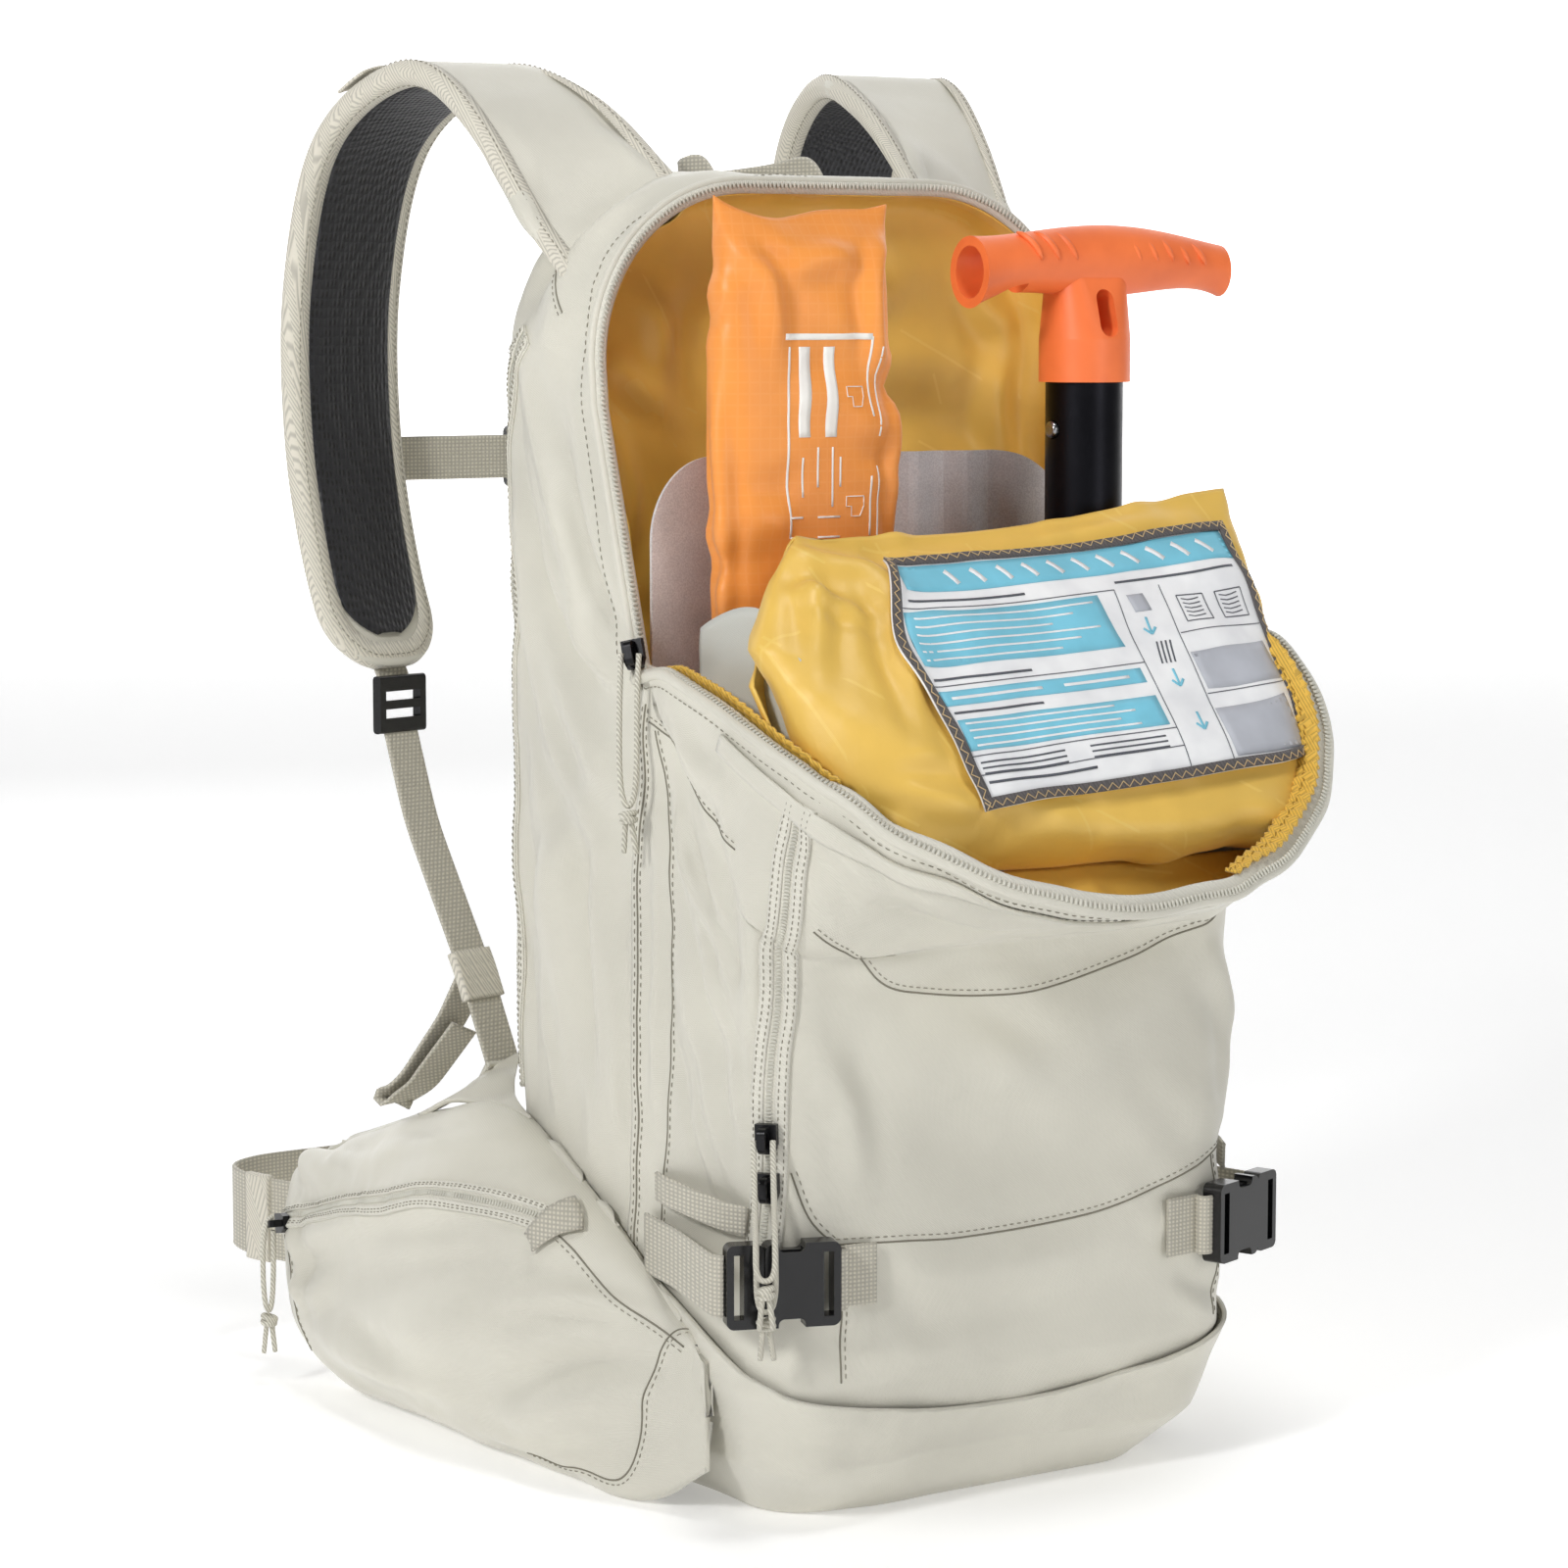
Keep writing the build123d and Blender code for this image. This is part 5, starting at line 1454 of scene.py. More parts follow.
def make_card_binding():
    """Dark tape round the card, folded over its edge, sewn down with a zigzag."""
    inset = 0.014
    sides = [
        [(0, 1 - inset), (0.5, 1 - inset), (1, 1 - inset)],
        [(0, inset), (0.5, inset), (1, inset)],
        [(inset * 0.6, 0), (inset * 0.6, 0.5), (inset * 0.6, 1)],
        [(1 - inset * 0.6, 0), (1 - inset * 0.6, 0.5), (1 - inset * 0.6, 1)],
    ]
    tape = [tape_on(card_sheet, marks, 5.6, 0.8, 0.2, across=4) for marks in sides]
    piece = joined_object("card_tape", tape, "card_edge")
    on_divider(piece)
    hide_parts("card_binding")
    zigzag = []
    for marks in sides:
        path = card_sheet.path(marks, 2.6)
        shift = np.where(np.arange(len(path)) % 2 == 0, 1.3, -1.3)
        line = path.copy()
        for k in range(len(path)):
            near = path[max(0, k - 1):k + 2]
            line[k] = card_sheet.beside(near, shift[k])[min(k, 1)]
        points, _ = card_sheet.at(line[:, 0], line[:, 1], 1.15)
        zigzag.append(tube_part(points, 0.28, 5))
    stitch = joined_object("card_zigzag", zigzag, "tan_stitch")
    on_divider(stitch)


make_card_binding()


# ---------------------------------------------------------------- probe bag

PROBE_X, PROBE_Y = -57, -57
PROBE_WIDE, PROBE_DEEP = 88, 27


def make_probe_bag():
    """A long flat bag whose top is pressed shut, with an ear at each corner."""
    turn = np.linspace(0, 2 * math.pi, 120, endpoint=False)
    rows = []
    for z in np.concatenate([np.linspace(137, 500, 90), np.linspace(502, 532, 16)]):
        shut = smoothstep(z, 514, 533)
        foot = smoothstep(z, 137, 150)
        wide = (PROBE_WIDE / 2) * (0.92 + 0.05 * shut + 0.03 * foot) + 1.5 * math.sin(z / 31.0)
        deep = (PROBE_DEEP / 2) * (1 - 0.86 * shut) * (0.6 + 0.4 * foot)
        x = np.sign(np.cos(turn)) * np.abs(np.cos(turn)) ** 0.6 * wide
        y = np.sign(np.sin(turn)) * np.abs(np.sin(turn)) ** 0.75 * deep
        lift = shut * (6.0 * (np.abs(x) / wide) ** 4 - 3.0 + 2.0 * np.sin(x / 11.0))
        lean = 2.0 * shut * np.sin(x / 17.0)
        rows.append(np.stack([PROBE_X + x, PROBE_Y + y + lean, z + lift], -1))
    grid = np.stack(rows)
    grid = add_ripples(grid, (0.25, 0.1, 0.95), 28, 1.3, 61, patch=50)
    grid = add_folds(grid, [
        ([(-96, -70, 520), (-80, -70, 500), (-76, -70, 470)], 5, 2.2),
        ([(-18, -70, 525), (-28, -70, 500), (-24, -70, 460)], 5, 2.4),
        ([(-98, -68, 330), (-84, -70, 342), (-66, -70, 338)], 6, 2.6),
        ([(-96, -68, 300), (-70, -70, 322), (-30, -70, 330)], 7, 2.2),
        ([(-70, -70, 505), (-50, -70, 512), (-34, -70, 506)], 5, 1.6),
        ([(-101, -60, 460), (-99, -64, 400), (-100, -62, 350)], 4, 1.8),
        ([(-14, -60, 470), (-15, -64, 420), (-13, -62, 380)], 4, 1.8),
    ])
    piece = cloth_object("probe_cloth", grid, "ripstop", 0.8, wrap=True)
    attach(piece, "probe")
    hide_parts("probe_bag")
    return grid


probe_grid = make_probe_bag()


def make_probe_print():
    """Two white name bars and rows of plain rules on the bag's front."""
    front = probe_grid[:, 62:118]
    sheet = Sheet(front)

    def mark(x, z):
        row = np.abs(front[:, 28, 2] - z).argmin()
        column = np.abs(front[row, :, 0] - x).argmin()
        return (column / (front.shape[1] - 1), row / (front.shape[0] - 1))

    def strip(x0, z0, x1, z1, width):
        return tape_on(sheet, [mark(x0, z0), mark((x0 + x1) / 2, (z0 + z1) / 2), mark(x1, z1)],
                       width, 0.08, 0.12, step=3.0, across=4)

    parts = [strip(x, 440, x, 474, 5.6) for x in (-62, -51)]
    parts.append(strip(-74, 480, -30, 480, 2.6))
    parts.append(strip(-72, 400, -72, 474, 1.1))
    for x, low, high in ((-63, 414, 432), (-58, 418, 434), (-52, 412, 434), (-47, 420, 432)):
        parts.append(strip(x, low, x, high, 0.9))
    for x, low, high in ((-30, 446, 478), (-26, 440, 474), (-30, 396, 424), (-26, 392, 428),
                         (-72, 376, 392)):
        parts.append(strip(x, low, x, high, 1.0))
    for z in (394, 400, 406):
        parts.append(strip(-70, z, -62, z, 0.8))
        parts.append(strip(-56, z, -46, z, 0.8))
    for centre_x, centre_z in ((-38, 456), (-38, 412)):
        turn = np.linspace(0, 2 * math.pi, 19)
        marks = [mark(centre_x + 4.4 * math.cos(a), centre_z + 4.4 * math.sin(a)) for a in turn]
        points, _ = sheet.at(np.array(marks)[:, 0], np.array(marks)[:, 1], 0.15)
        parts.append(tube_part(points, 0.22, 5))
    piece = joined_object("probe_print", parts, "print")
    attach(piece, "probe")


make_probe_print()


# ---------------------------------------------------------------- seams, stitches and zips on the cloth

def marks_on(sheet, points):
    """(s, h) marks of the sheet's places nearest to points."""
    flat = sheet.grid.reshape(-1, 3)
    rows, columns = sheet.grid.shape[:2]
    marks = []
    for point in points:
        nearest = int(((flat - np.asarray(point, float)) ** 2).sum(1).argmin())
        marks.append((nearest % columns / (columns - 1), nearest // columns / (rows - 1)))
    return marks


def flipped(points):
    return [(-x, y, z) for x, y, z in points]


def on_front(name, parts, paint):
    """Ornament of the front cloth, baked in place."""
    piece = joined_object(name, parts, paint)
    blend_flap(piece)
    return piece


def on_body(name, parts, paint, slot="shell_fabric"):
    """Ornament of the cloth that stays with the pack."""
    piece = joined_object(name, parts, paint)
    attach(piece, "pack")
    return piece


LEFT_PANEL_SEAM = [(-125, -53, 320), (-125, -58, 290), (-124, -61, 264), (-123, -59, 195), (-122, -52, 137),
                   (-121, -46, 94)]
CORNER_SEAM = [(-126, -47, 324), (-126, -74, 303), (-119, -114, 279)]
YOKE_SEAM = [(-102, -136, 252), (-88, -137, 238), (-69, -137, 224), (-45, -138, 217), (3, -138, 214),
             (54, -138, 223), (79, -137, 230), (104, -131, 238)]
LOW_SEAM = [(-91, -134, 119), (-60, -136, 117), (-29, -136, 115), (31, -136, 117), (64, -136, 123),
            (100, -132, 132), (112, -124, 137)]
LOW_SIDE_SEAM = [(-91, -135, 118), (-89, -135, 90), (-88, -135, 62)]
RIGHT_GATHER_SEAM = [(104, -131, 134), (107, -129, 100), (104, -131, 64)]
WEST_SEAM = [(-110, -131, 150), (-102, -133, 132), (-91, -134, 120)]


def make_front_seams():
    """Seams and stitch rows of the front cloth."""
    lines = [LEFT_PANEL_SEAM, CORNER_SEAM, YOKE_SEAM, LOW_SEAM, LOW_SIDE_SEAM, RIGHT_GATHER_SEAM, WEST_SEAM,
             flipped(LEFT_PANEL_SEAM), flipped(CORNER_SEAM)]
    # the dark tubes along these seams are painted shade of their grooves
    seam_shade_tubes = []
    threads = []
    for line in lines:
        marks = marks_on(front_sheet, line)
        seam_shade_tubes.append(seam_on(front_sheet, marks, 0.0, 0.42))
        threads += stitching_on(front_sheet, marks, 2.2, **FINE_STITCH)
    edges = []
    for s in (0.012, 0.988):
        marks = [(s, 0.06), (s, 0.2), (s, 0.4), (s, 0.585)]
        seam_shade_tubes.append(seam_on(front_sheet, marks, 0.0, 0.5))
        edges += stitching_on(front_sheet, marks, 2.4, **FINE_STITCH)
        edges += stitching_on(front_sheet, marks, -2.4, **FINE_STITCH)
    on_front("front_seam_shade", seam_shade_tubes, "seam")
    on_front("front_stitches", threads + edges, "stitch")


make_front_seams()


def make_zip(sheet, marks, width, name, add, body_tape="tape"):
    """Tape, coil and stitch rows of a closed zip laid along marks."""
    made = add(name + "_tape", [tape_on(sheet, marks, width, 1.0, 0.0, across=7)], body_tape)
    path = sheet.path(marks, 2.0)
    points, normals = sheet.at(path[:, 0], path[:, 1], 1.15)
    ahead = unit(np.gradient(points, axis=0))
    side = unit(np.cross(normals, ahead))
    add(name + "_coil", beads_along(points, side, normals, 1.5, 2.6, 1.3), "coil")
    flaps = []
    for offset in (-1, 1):
        flaps.append(tape_on(sheet, marks, width / 2 - 2.6, 0.7, 1.05, offset * (width / 4 + 1.0), across=4))
    add(name + "_garage", flaps, body_tape)
    threads = []
    for offset in (-width / 2 + 1.4, -3.6, 3.6, width / 2 - 1.4):
        line = sheet.beside(path, offset)
        low, up = sheet.at(line[:, 0], line[:, 1], 1.85)
        threads += stitches_on(low, up, length=1.7, gap=1.1, radius=0.26)
    add(name + "_stitches", threads, "stitch")
    return made


FRONT_ZIP_LINE = [(-117, -121, 118), (-117.5, -125, 140), (-117, -125.6, 164), (-116.5, -127, 195),
                  (-116, -130, 228), (-115, -140, 275), (-114, -150, 300)]


def make_front_zip():
    """The corner zip of the front, with the lip beside it."""
    marks = marks_on(front_sheet, FRONT_ZIP_LINE)
    piece = make_zip(front_sheet, marks, 15, "front_zip", on_front)
    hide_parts("front_zip")
    lip = [(s, 0.925) for s in np.linspace(0.15, 0.85, 60)]
    on_front("pocket_lip", [tape_on(front_sheet, lip, 8, 1.5, 0.6, across=6)], "fabric")
    on_front("pocket_lip_stitches", stitching_on(front_sheet, lip, 2.6, **FINE_STITCH), "stitch")


make_front_zip()

BACK_ZIP_LINE = [(-122, 81, 156), (-124, 78, 200), (-124, 78, 243), (-124, 77, 329), (-124, 75, 388),
                 (-124, 71, 439), (-124, 61, 464), (-123, 48, 478)]


def make_back_zip():
    """The zip along the left back edge."""
    marks = marks_on(side_sheet, BACK_ZIP_LINE)
    make_zip(side_sheet, marks, 13, "back_zip", on_body)


make_back_zip()


def make_side_seams():
    """The yoke seams over the shoulders, with their stitches, and a dark line of painted shade along the
    right back edge's seam.
    """
    threads = []
    # the dark tubes along these seams are painted shade of their grooves
    seam_shade_tubes = []
    yoke = [(-122, 20, 488), (-112, 34, 508), (-94, 42, 530), (-60, 44, 546)]
    for line in (yoke, flipped(yoke)):
        marks = marks_on(side_sheet, line)
        seam_shade_tubes.append(seam_on(side_sheet, marks, 0.0, 0.42))
        threads += stitching_on(side_sheet, marks, 2.2, **FINE_STITCH)
    edge = marks_on(side_sheet, flipped([(-120, 80, 156), (-122, 80, 300), (-122, 80, 420),
                                          (-118, 72, 490)]))
    seam_shade_tubes.append(seam_on(side_sheet, edge, 0.0, 0.42))
    on_body("side_seam_shade", seam_shade_tubes, "seam")
    on_body("side_stitches", threads, "stitch")


make_side_seams()


def make_base_seam():
    """The seam round the top of the base cup."""
    top = [(s, 0.985) for s in np.linspace(0.13, 0.87, 40)]
    low = [(s, 0.93) for s in np.linspace(0.13, 0.87, 40)]
    # the dark tube round the base seam is painted shade of its groove
    on_body("base_seam_shade", [seam_on(base_sheet, top, 0.2, 0.5)], "seam")
    on_body("base_stitches", stitching_on(base_sheet, low, 0, **FINE_STITCH), "stitch")


make_base_seam()


# ---------------------------------------------------------------- flap rim, its zip and bindings

def ribbon_grid(low, high, steps=6):
    """Rows of points from one line to another."""
    return np.stack([low + (high - low) * share for share in np.linspace(0, 1, steps)])


def make_rim():
    """Rolled edge, tape and zip teeth round the open flap, with gathered bindings inside it."""
    edge = front_sheet.grid[-1]
    inwards = -front_sheet.normals[-1]
    out = unit(front_sheet.grid[-1] - front_sheet.grid[-4])
    roll = on_front("rim_roll", [tube_part(edge + inwards * 0.9, 2.3, 10)], "fabric")
    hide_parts("flap_rim")
    tape = ribbon_grid(edge + inwards * 1.8 + out * 0.9, edge + inwards * 8.5 + out * 0.3)
    belt = cloth_object("rim_tape", tape, "tape", 1.0)
    blend_flap(belt)
    line = edge + inwards * 2.9 + out * 2.2
    on_front("rim_teeth", beads_along(line, inwards, out, 2.0, 3.0, 1.5), "coil")
    row = edge - out * 5.5
    on_front("rim_stitches", stitches_on(row - inwards * 0.1, -inwards, **FINE_STITCH), "stitch")
    inner = front_sheet.grid[112:178] + front_sheet.normals[112:178] * -2.6
    lining = cloth_object("flap_inner_cloth", inner[:, ::-1][:, 4:-4], "inner", 0.8)
    blend_flap(lining)
    bands = []
    for low, high in ((0.03, 0.27), (0.60, 0.965)):
        first = int(low * 299)
        last = int(high * 299)
        span = slice(first, last)
        run = np.linspace(0, 1, last - first)
        gather = (0.9 * np.sin(np.arange(last - first) * 2.1))[:, None]
        fade = np.sin(math.pi * np.clip(run, 0.02, 0.98))[:, None] ** 0.3
        top = edge[span] + inwards[span] * (9.5 + gather) + out[span] * 4.5 * fade
        low_edge = edge[span] + inwards[span] * (9.5 + 5 * fade + gather) - out[span] * (7 * fade)
        bands.append(ribbon_grid(top, low_edge, 7))
    for word, grid in zip(("left", "right"), bands):
        piece = cloth_object("rim_binding_" + word, grid, "gold_tape", 1.2)
        blend_flap(piece)
        middle = grid[3] + grid_normals(grid)[3] * 0.2
        on_front("rim_binding_stitches_" + word,
                 stitches_on(middle, grid_normals(grid)[3], length=2.4, gap=1.4, radius=0.3), "gold_stitch")


make_rim()


def make_flap_bellows():
    """Lining that hangs from the divider's foot to the inside of the scoop."""
    s = np.linspace(0.30, 0.78, 150)
    share = np.linspace(0, 1, 24)
    reach, _ = front_sheet.at(s, np.full(150, 0.90), -5.0)
    root = np.stack([np.linspace(-80, 112, 150), np.full(150, -158.0), np.full(150, 268.0)], -1)
    rows = []
    for part in share:
        row = root + (reach - root) * part
        row = row + np.array((0, 0, -9.0)) * math.sin(math.pi * part)
        rows.append(row)
    grid = add_ripples(np.stack(rows)[::-1], (0.9, 0.3, 0.1), 24, 1.5, 77)
    piece = cloth_object("flap_bellows", grid, "lining", 0.8)
    blend_flap(piece)


make_flap_bellows()


def make_arch_zip():
    """Zip half round the compartment's mouth: rolled cloth edge, tape and teeth."""
    outer = body_outline(HINGE[1] + 4, 0.4, 420)
    near = body_outline(HINGE[1] + 4, 2.2, 420)
    deep = body_outline(HINGE[1] + 4, 6.0, 420)
    forward = np.array((0.0, -1.0, 0.0))

    def placed(line, shift):
        return np.stack([line[:, 0], arch_y(line[:, 1]) + shift, line[:, 1]], -1)

    roll = on_body("arch_roll", [tube_part(placed(outer, 2.6), 2.0, 10)], "fabric")
    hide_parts("arch_zip")
    tape = np.stack([placed(outer, 1.0), placed(near, -1.0), placed(near + (deep - near) * 0.5, -1.2),
                     placed(deep, 0.2)])
    piece = cloth_object("arch_tape", tape[::-1], "tape", 0.9)
    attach(piece, "pack")
    line = placed(near, -1.9)
    sideways = unit(placed(outer, 0) - placed(deep, 0))
    ups = np.broadcast_to(forward, line.shape)
    on_body("arch_teeth", beads_along(line, sideways, ups, 2.0, 3.0, 1.5), "coil", "zip_tape")
    beside = [(s, 0.07) for s in np.linspace(0.262, 0.738, 60)]
    on_body("arch_stitches", stitching_on(side_sheet, beside, 0, **FINE_STITCH), "stitch")


make_arch_zip()


# ---------------------------------------------------------------- tool sleeve and the panel beside it

def make_sleeve():
    """Open pocket of inner cloth in front of the blade, with its floor."""
    x = np.linspace(-112, 57, 60)
    rows = []
    for share in np.linspace(0, 1, 10):
        rows.append(np.stack([x, np.full(60, 18.0 - 90 * share), np.full(60, 132.8)], -1))
    for share in np.linspace(0, 1, 16)[1:]:
        sag = 2.0 * np.sin(x / 23.0) * share
        rows.append(np.stack([x, -73.0 + sag, 132.8 + 95 * share + 3 * np.sin(x / 31.0) * share], -1))
    grid = add_ripples(np.stack(rows), (0.8, 0.2, 0.3), 40, 0.8, 71)
    piece = cloth_object("sleeve_cloth", grid, "inner", 1.0)
    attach(piece, "pack")
    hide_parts("tool_sleeve")
    gusset_rows = []
    for share in np.linspace(0, 1, 30):
        z = 250 + 112 * share
        y = np.linspace(-57, -117, 40)
        bow = 6 * np.sin(math.pi * np.linspace(0, 1, 40)) * share
        drop = 8 * share * np.linspace(0, 1, 40) ** 2
        gusset_rows.append(np.stack([-112 + 7 * share + bow * 0.6, y - 12 * share * np.linspace(0, 1, 40),
                                     z - drop + 2 * bow * share], -1))
    panel = add_ripples(np.stack(gusset_rows), (0, 0.8, 0.4), 34, 1.4, 73)
    side = cloth_object("gusset_cloth", panel, "inner", 1.0)
    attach(side, "pack")


make_sleeve()


# ---------------------------------------------------------------- hip wings

WING_SECTIONS = (
    (-90, -122, -125, 24, 66), (-50, -122, -141, 4, 92), (0, -122.5, -158, 1, 120),
    (66, -123, -170, 1, 147), (110, -126, -172, 2, 140), (165, -137, -170, 4, 122),
    (205, -145, -165, 16, 106), (224, -149, -158, 32, 96),
)


def wing_grid():
    """Rows of D-shaped rings along the left wing, from its front end to its tip."""
    along = curve_through(list(WING_SECTIONS), 150)
    turn = np.linspace(0, 2 * math.pi, 140, endpoint=False)
    c = np.cos(turn)
    s = np.sin(turn)
    rows = []
    for y, inner, outer, low, high in along:
        middle = (low + high) / 2 - 3
        half = (high - low) / 2
        belly = np.where(c > 0, np.abs(c) ** 0.72, 0) * (1 - 0.10 * s * (s > 0))
        x = inner + (outer - inner) * belly
        z = middle + np.sign(s) * np.abs(s) ** 0.82 * (half + np.where(s > 0, 3, 0))
        rows.append(np.stack([x, np.full(140, y), z], -1))
    tip = rows[-1]
    centre = tip.mean(0)
    rows.append(centre + (tip - centre) * 0.6 + (0, 2.0, 0))
    rows.append(centre + (tip - centre) * 0.05 + (0, 2.6, 0))
    nose = rows[0]
    centre = nose.mean(0)
    rows.insert(0, centre + (nose - centre) * 0.05 + (0, -1.0, 0))
    return np.stack(rows)


WING_FOLDS = [
    ([(-134, -60, 80), (-150, -22, 84), (-160, 20, 76)], 5, 2.2),
    ([(-164, 30, 108), (-170, 80, 96), (-172, 130, 84)], 5, -1.6),
    ([(-160, 40, 30), (-168, 90, 26), (-168, 140, 34)], 7, 2.2),
    ([(-140, -30, 16), (-152, 0, 8), (-160, 40, 8)], 6, 2.2),
    ([(-168, 150, 60), (-168, 180, 48), (-164, 206, 48)], 6, 2.0),
    ([(-150, 180, 108), (-160, 170, 112), (-166, 140, 116)], 4, 2.0),
    ([(-140, 216, 96), (-160, 196, 104), (-168, 160, 100)], 7, 3.0),
    ([(-164, 60, 136), (-168, 110, 128), (-168, 160, 112)], 7, 2.6),
    ([(-158, 10, 96), (-168, 60, 88), (-172, 120, 70), (-168, 180, 60)], 12, -2.4),
    ([(-150, -20, 70), (-166, 40, 60), (-170, 100, 40)], 13, 2.8),
    ([(-132, -70, 50), (-148, -30, 40), (-160, 20, 20)], 9, 2.4),
    ([(-130, -74, 62), (-146, -36, 58), (-158, 10, 44)], 6, -2.0),
    ([(-160, 90, 20), (-166, 130, 26), (-160, 180, 34)], 9, 2.4),
    ([(-166, 110, 96), (-170, 150, 84), (-166, 196, 70)], 6, 1.8),
    ([(-150, 40, 144), (-160, 80, 138), (-158, 130, 124)], 5, 2.2),
    ([(-165, 208, 84), (-168, 190, 60), (-164, 196, 34)], 6, 2.0),
    ([(-158, -6, 118), (-166, 30, 122), (-168, 70, 118)], 5, -1.6),
]
WING_ZIP_LINE = [(-157, -4, 121), (-165, 40, 117), (-170, 80, 110), (-171, 110, 104), (-170, 150, 94),
                 (-167, 190, 82), (-161, 216, 73)]


def make_wing(word):
    """One hip wing with its pocket zip, seams and webbing loop."""
    grid = wing_grid()
    grid = add_ripples(grid, (0.1, 0.4, 0.9), 40, 0.9, 81 if word == "left" else 83)
    grid = add_folds(grid, WING_FOLDS)
    zip_line = curve_through(WING_ZIP_LINE, 60)
    grid = add_puckers(grid, zip_line, 15, 8, 0.6, 85)
    right = word == "right"
    if right:
        grid = (grid * (-1, 1, 1))[:, ::-1]
    wing = cloth_object("wing_cloth_" + word, grid, "fabric", 2.0, wrap=True)
    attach(wing, "pack")
    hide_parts("wing_" + word)
    start = 70
    sheet = Sheet(np.roll(grid, start, axis=1))

    def placed(line):
        return marks_on(sheet, flipped(line) if right else line)

    def add(name, parts, paint):
        return on_body(name, parts, paint, "zip_tape" if "tape" in name else "shell_fabric")

    tape = make_zip(sheet, placed(WING_ZIP_LINE), 12, "wing_zip_" + word, add)
    if not right:
        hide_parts("belt_zips")
    seams = (
        [(-125, -76, 70), (-143, -46, 91), (-152, -20, 106), (-157, -4, 116)],
        [(-161, 216, 70), (-164, 206, 56), (-163, 200, 34), (-158, 196, 16)],
        [(-124, -84, 48), (-138, -57, 22), (-150, -20, 6), (-156, 10, 1)],
    )
    # the dark tubes along these seams are painted shade of their grooves
    seam_shade_tubes = []
    threads = []
    for line in seams:
        marks = placed(line)
        seam_shade_tubes.append(seam_on(sheet, marks, 0.0, 0.42))
        threads += stitching_on(sheet, marks, 2.2, **FINE_STITCH)
    add("wing_seam_shade_" + word, seam_shade_tubes, "seam")
    add("wing_stitches_" + word, threads, "stitch")
    loop = placed([(-155, -14, 112), (-156, -9, 121), (-157, -6, 129)])
    add("wing_loop_" + word, [tape_on(sheet, loop, 24, 1.4, 2.1, across=8)], "web")


make_wing("left")
make_wing("right")


# ---------------------------------------------------------------- shoulder straps

STRAP_TURN = math.radians(15.4)
STRAP_ROOT = np.array((-88.0, 45.0, 0.0))
STRAP_OUT = np.array((-math.sin(STRAP_TURN), math.cos(STRAP_TURN), 0.0))
STRAP_ACROSS = np.array((math.cos(STRAP_TURN), math.sin(STRAP_TURN), 0.0))
STRAP_PATH = ((0, 553), (42, 579), (95, 592), (145, 564), (166, 500), (166, 430), (153, 370), (135, 330))
STRAP_HALF = 33.0
STRAP_ROWS = 220
STRAP_END = 0.93           # share of the strap where its end starts to round off
YOKE_LEAN = unit((0.894, 0.0, 0.447))


def strap_at(reach, height, shift=0.0):
    return STRAP_ROOT + STRAP_OUT * reach + STRAP_ACROSS * shift + UPRIGHT * height


class Strap:
    """The left strap's middle surface: share runs down the strap and u across it."""

    def __init__(self):
        line = np.array([strap_at(reach, height) for reach, height in STRAP_PATH])
        lead = line[0] - (line[1] - line[0]) * 0.34 - UPRIGHT * 4
        spine = curve_through(np.vstack([lead, line]), STRAP_ROWS)
        share = np.linspace(0, 1, STRAP_ROWS)
        lean = (1 - smoothstep(share, 0.02, 0.30))[:, None]
        self.share = share
        self.across = unit(STRAP_ACROSS * (1 - lean) + YOKE_LEAN * lean)
        self.spine = spine + lean ** 1.6 * np.array((-4.0, -6.0, -21.0))
        ahead = unit(np.gradient(self.spine, axis=0))
        self.out = unit(np.cross(self.across, ahead))
        end = np.clip((share - STRAP_END) / (1 - STRAP_END), 0, 1)
        self.half = STRAP_HALF * (1 + 0.08 * lean[:, 0]) * np.sqrt(np.maximum(1 - 0.93 * end ** 2.2, 0.02))
        self.thick = 5.2 - 2.4 * lean[:, 0] - 1.4 * smoothstep(share, 0.8, 1.0)

    def read(self, table, share):
        return np.stack([np.interp(share, self.share, table[:, k]) for k in range(table.shape[1])], -1)

    def at(self, share, u, lift=0.0):
        """Points at a share and u, lifted off the middle surface towards the outside."""
        share = np.asarray(share, float)
        u = np.asarray(u, float)
        half = np.interp(share, self.share, self.half)
        return (self.read(self.spine, share) + self.read(self.across, share) * (half * u)[..., None]
                + self.read(self.out, share) * np.asarray(lift, float)[..., None])

    def depth(self, share):
        return np.interp(share, self.share, self.thick)


STRAP = Strap()
STRAP_FOLDS = [
    ([(-70, 40, 548), (-80, 70, 562), (-84, 100, 580)], 6, 2.4),
    ([(-108, 38, 534), (-104, 62, 556), (-110, 88, 574)], 6, -2.0),
    ([(-124, 40, 520), (-124, 66, 545), (-128, 90, 566)], 5, 2.2),
    ([(-96, 40, 540), (-92, 60, 556)], 5, 1.8),
    ([(-120, 150, 590), (-124, 172, 578), (-128, 186, 560)], 9, 1.4),
]


def to_side(grid, word):
    """A grid of the left side as it is, or carried to the right side with its faces still outward."""
    if word == "left":
        return grid
    return (grid * (-1, 1, 1))[:, ::-1]


def blend_strap(piece):
    """Bakes a strap piece's placement into its mesh."""
    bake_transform(piece)


def make_strap_body(word):
    """One padded shoulder strap."""
    turn = np.linspace(0, 2 * math.pi, 64, endpoint=False)
    u = np.sign(np.cos(turn)) * np.abs(np.cos(turn)) ** 0.32
    v = np.sign(np.sin(turn)) * np.abs(np.sin(turn)) ** 0.75
    rows = []
    for share in np.linspace(0, 1, 200):
        depth = float(STRAP.depth(share))
        rows.append(STRAP.at(np.full(64, share), u, v * depth))
    grid = np.stack(rows)[:, ::-1]
    grid = add_folds(grid, STRAP_FOLDS)
    grid = add_ripples(grid, (0.3, 0.8, 0.3), 50, 0.5, 91)
    piece = cloth_object("strap_body_" + word, to_side(grid, word), "fabric", 2.0, wrap=True)
    blend_strap(piece)
    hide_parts("strap_" + word)


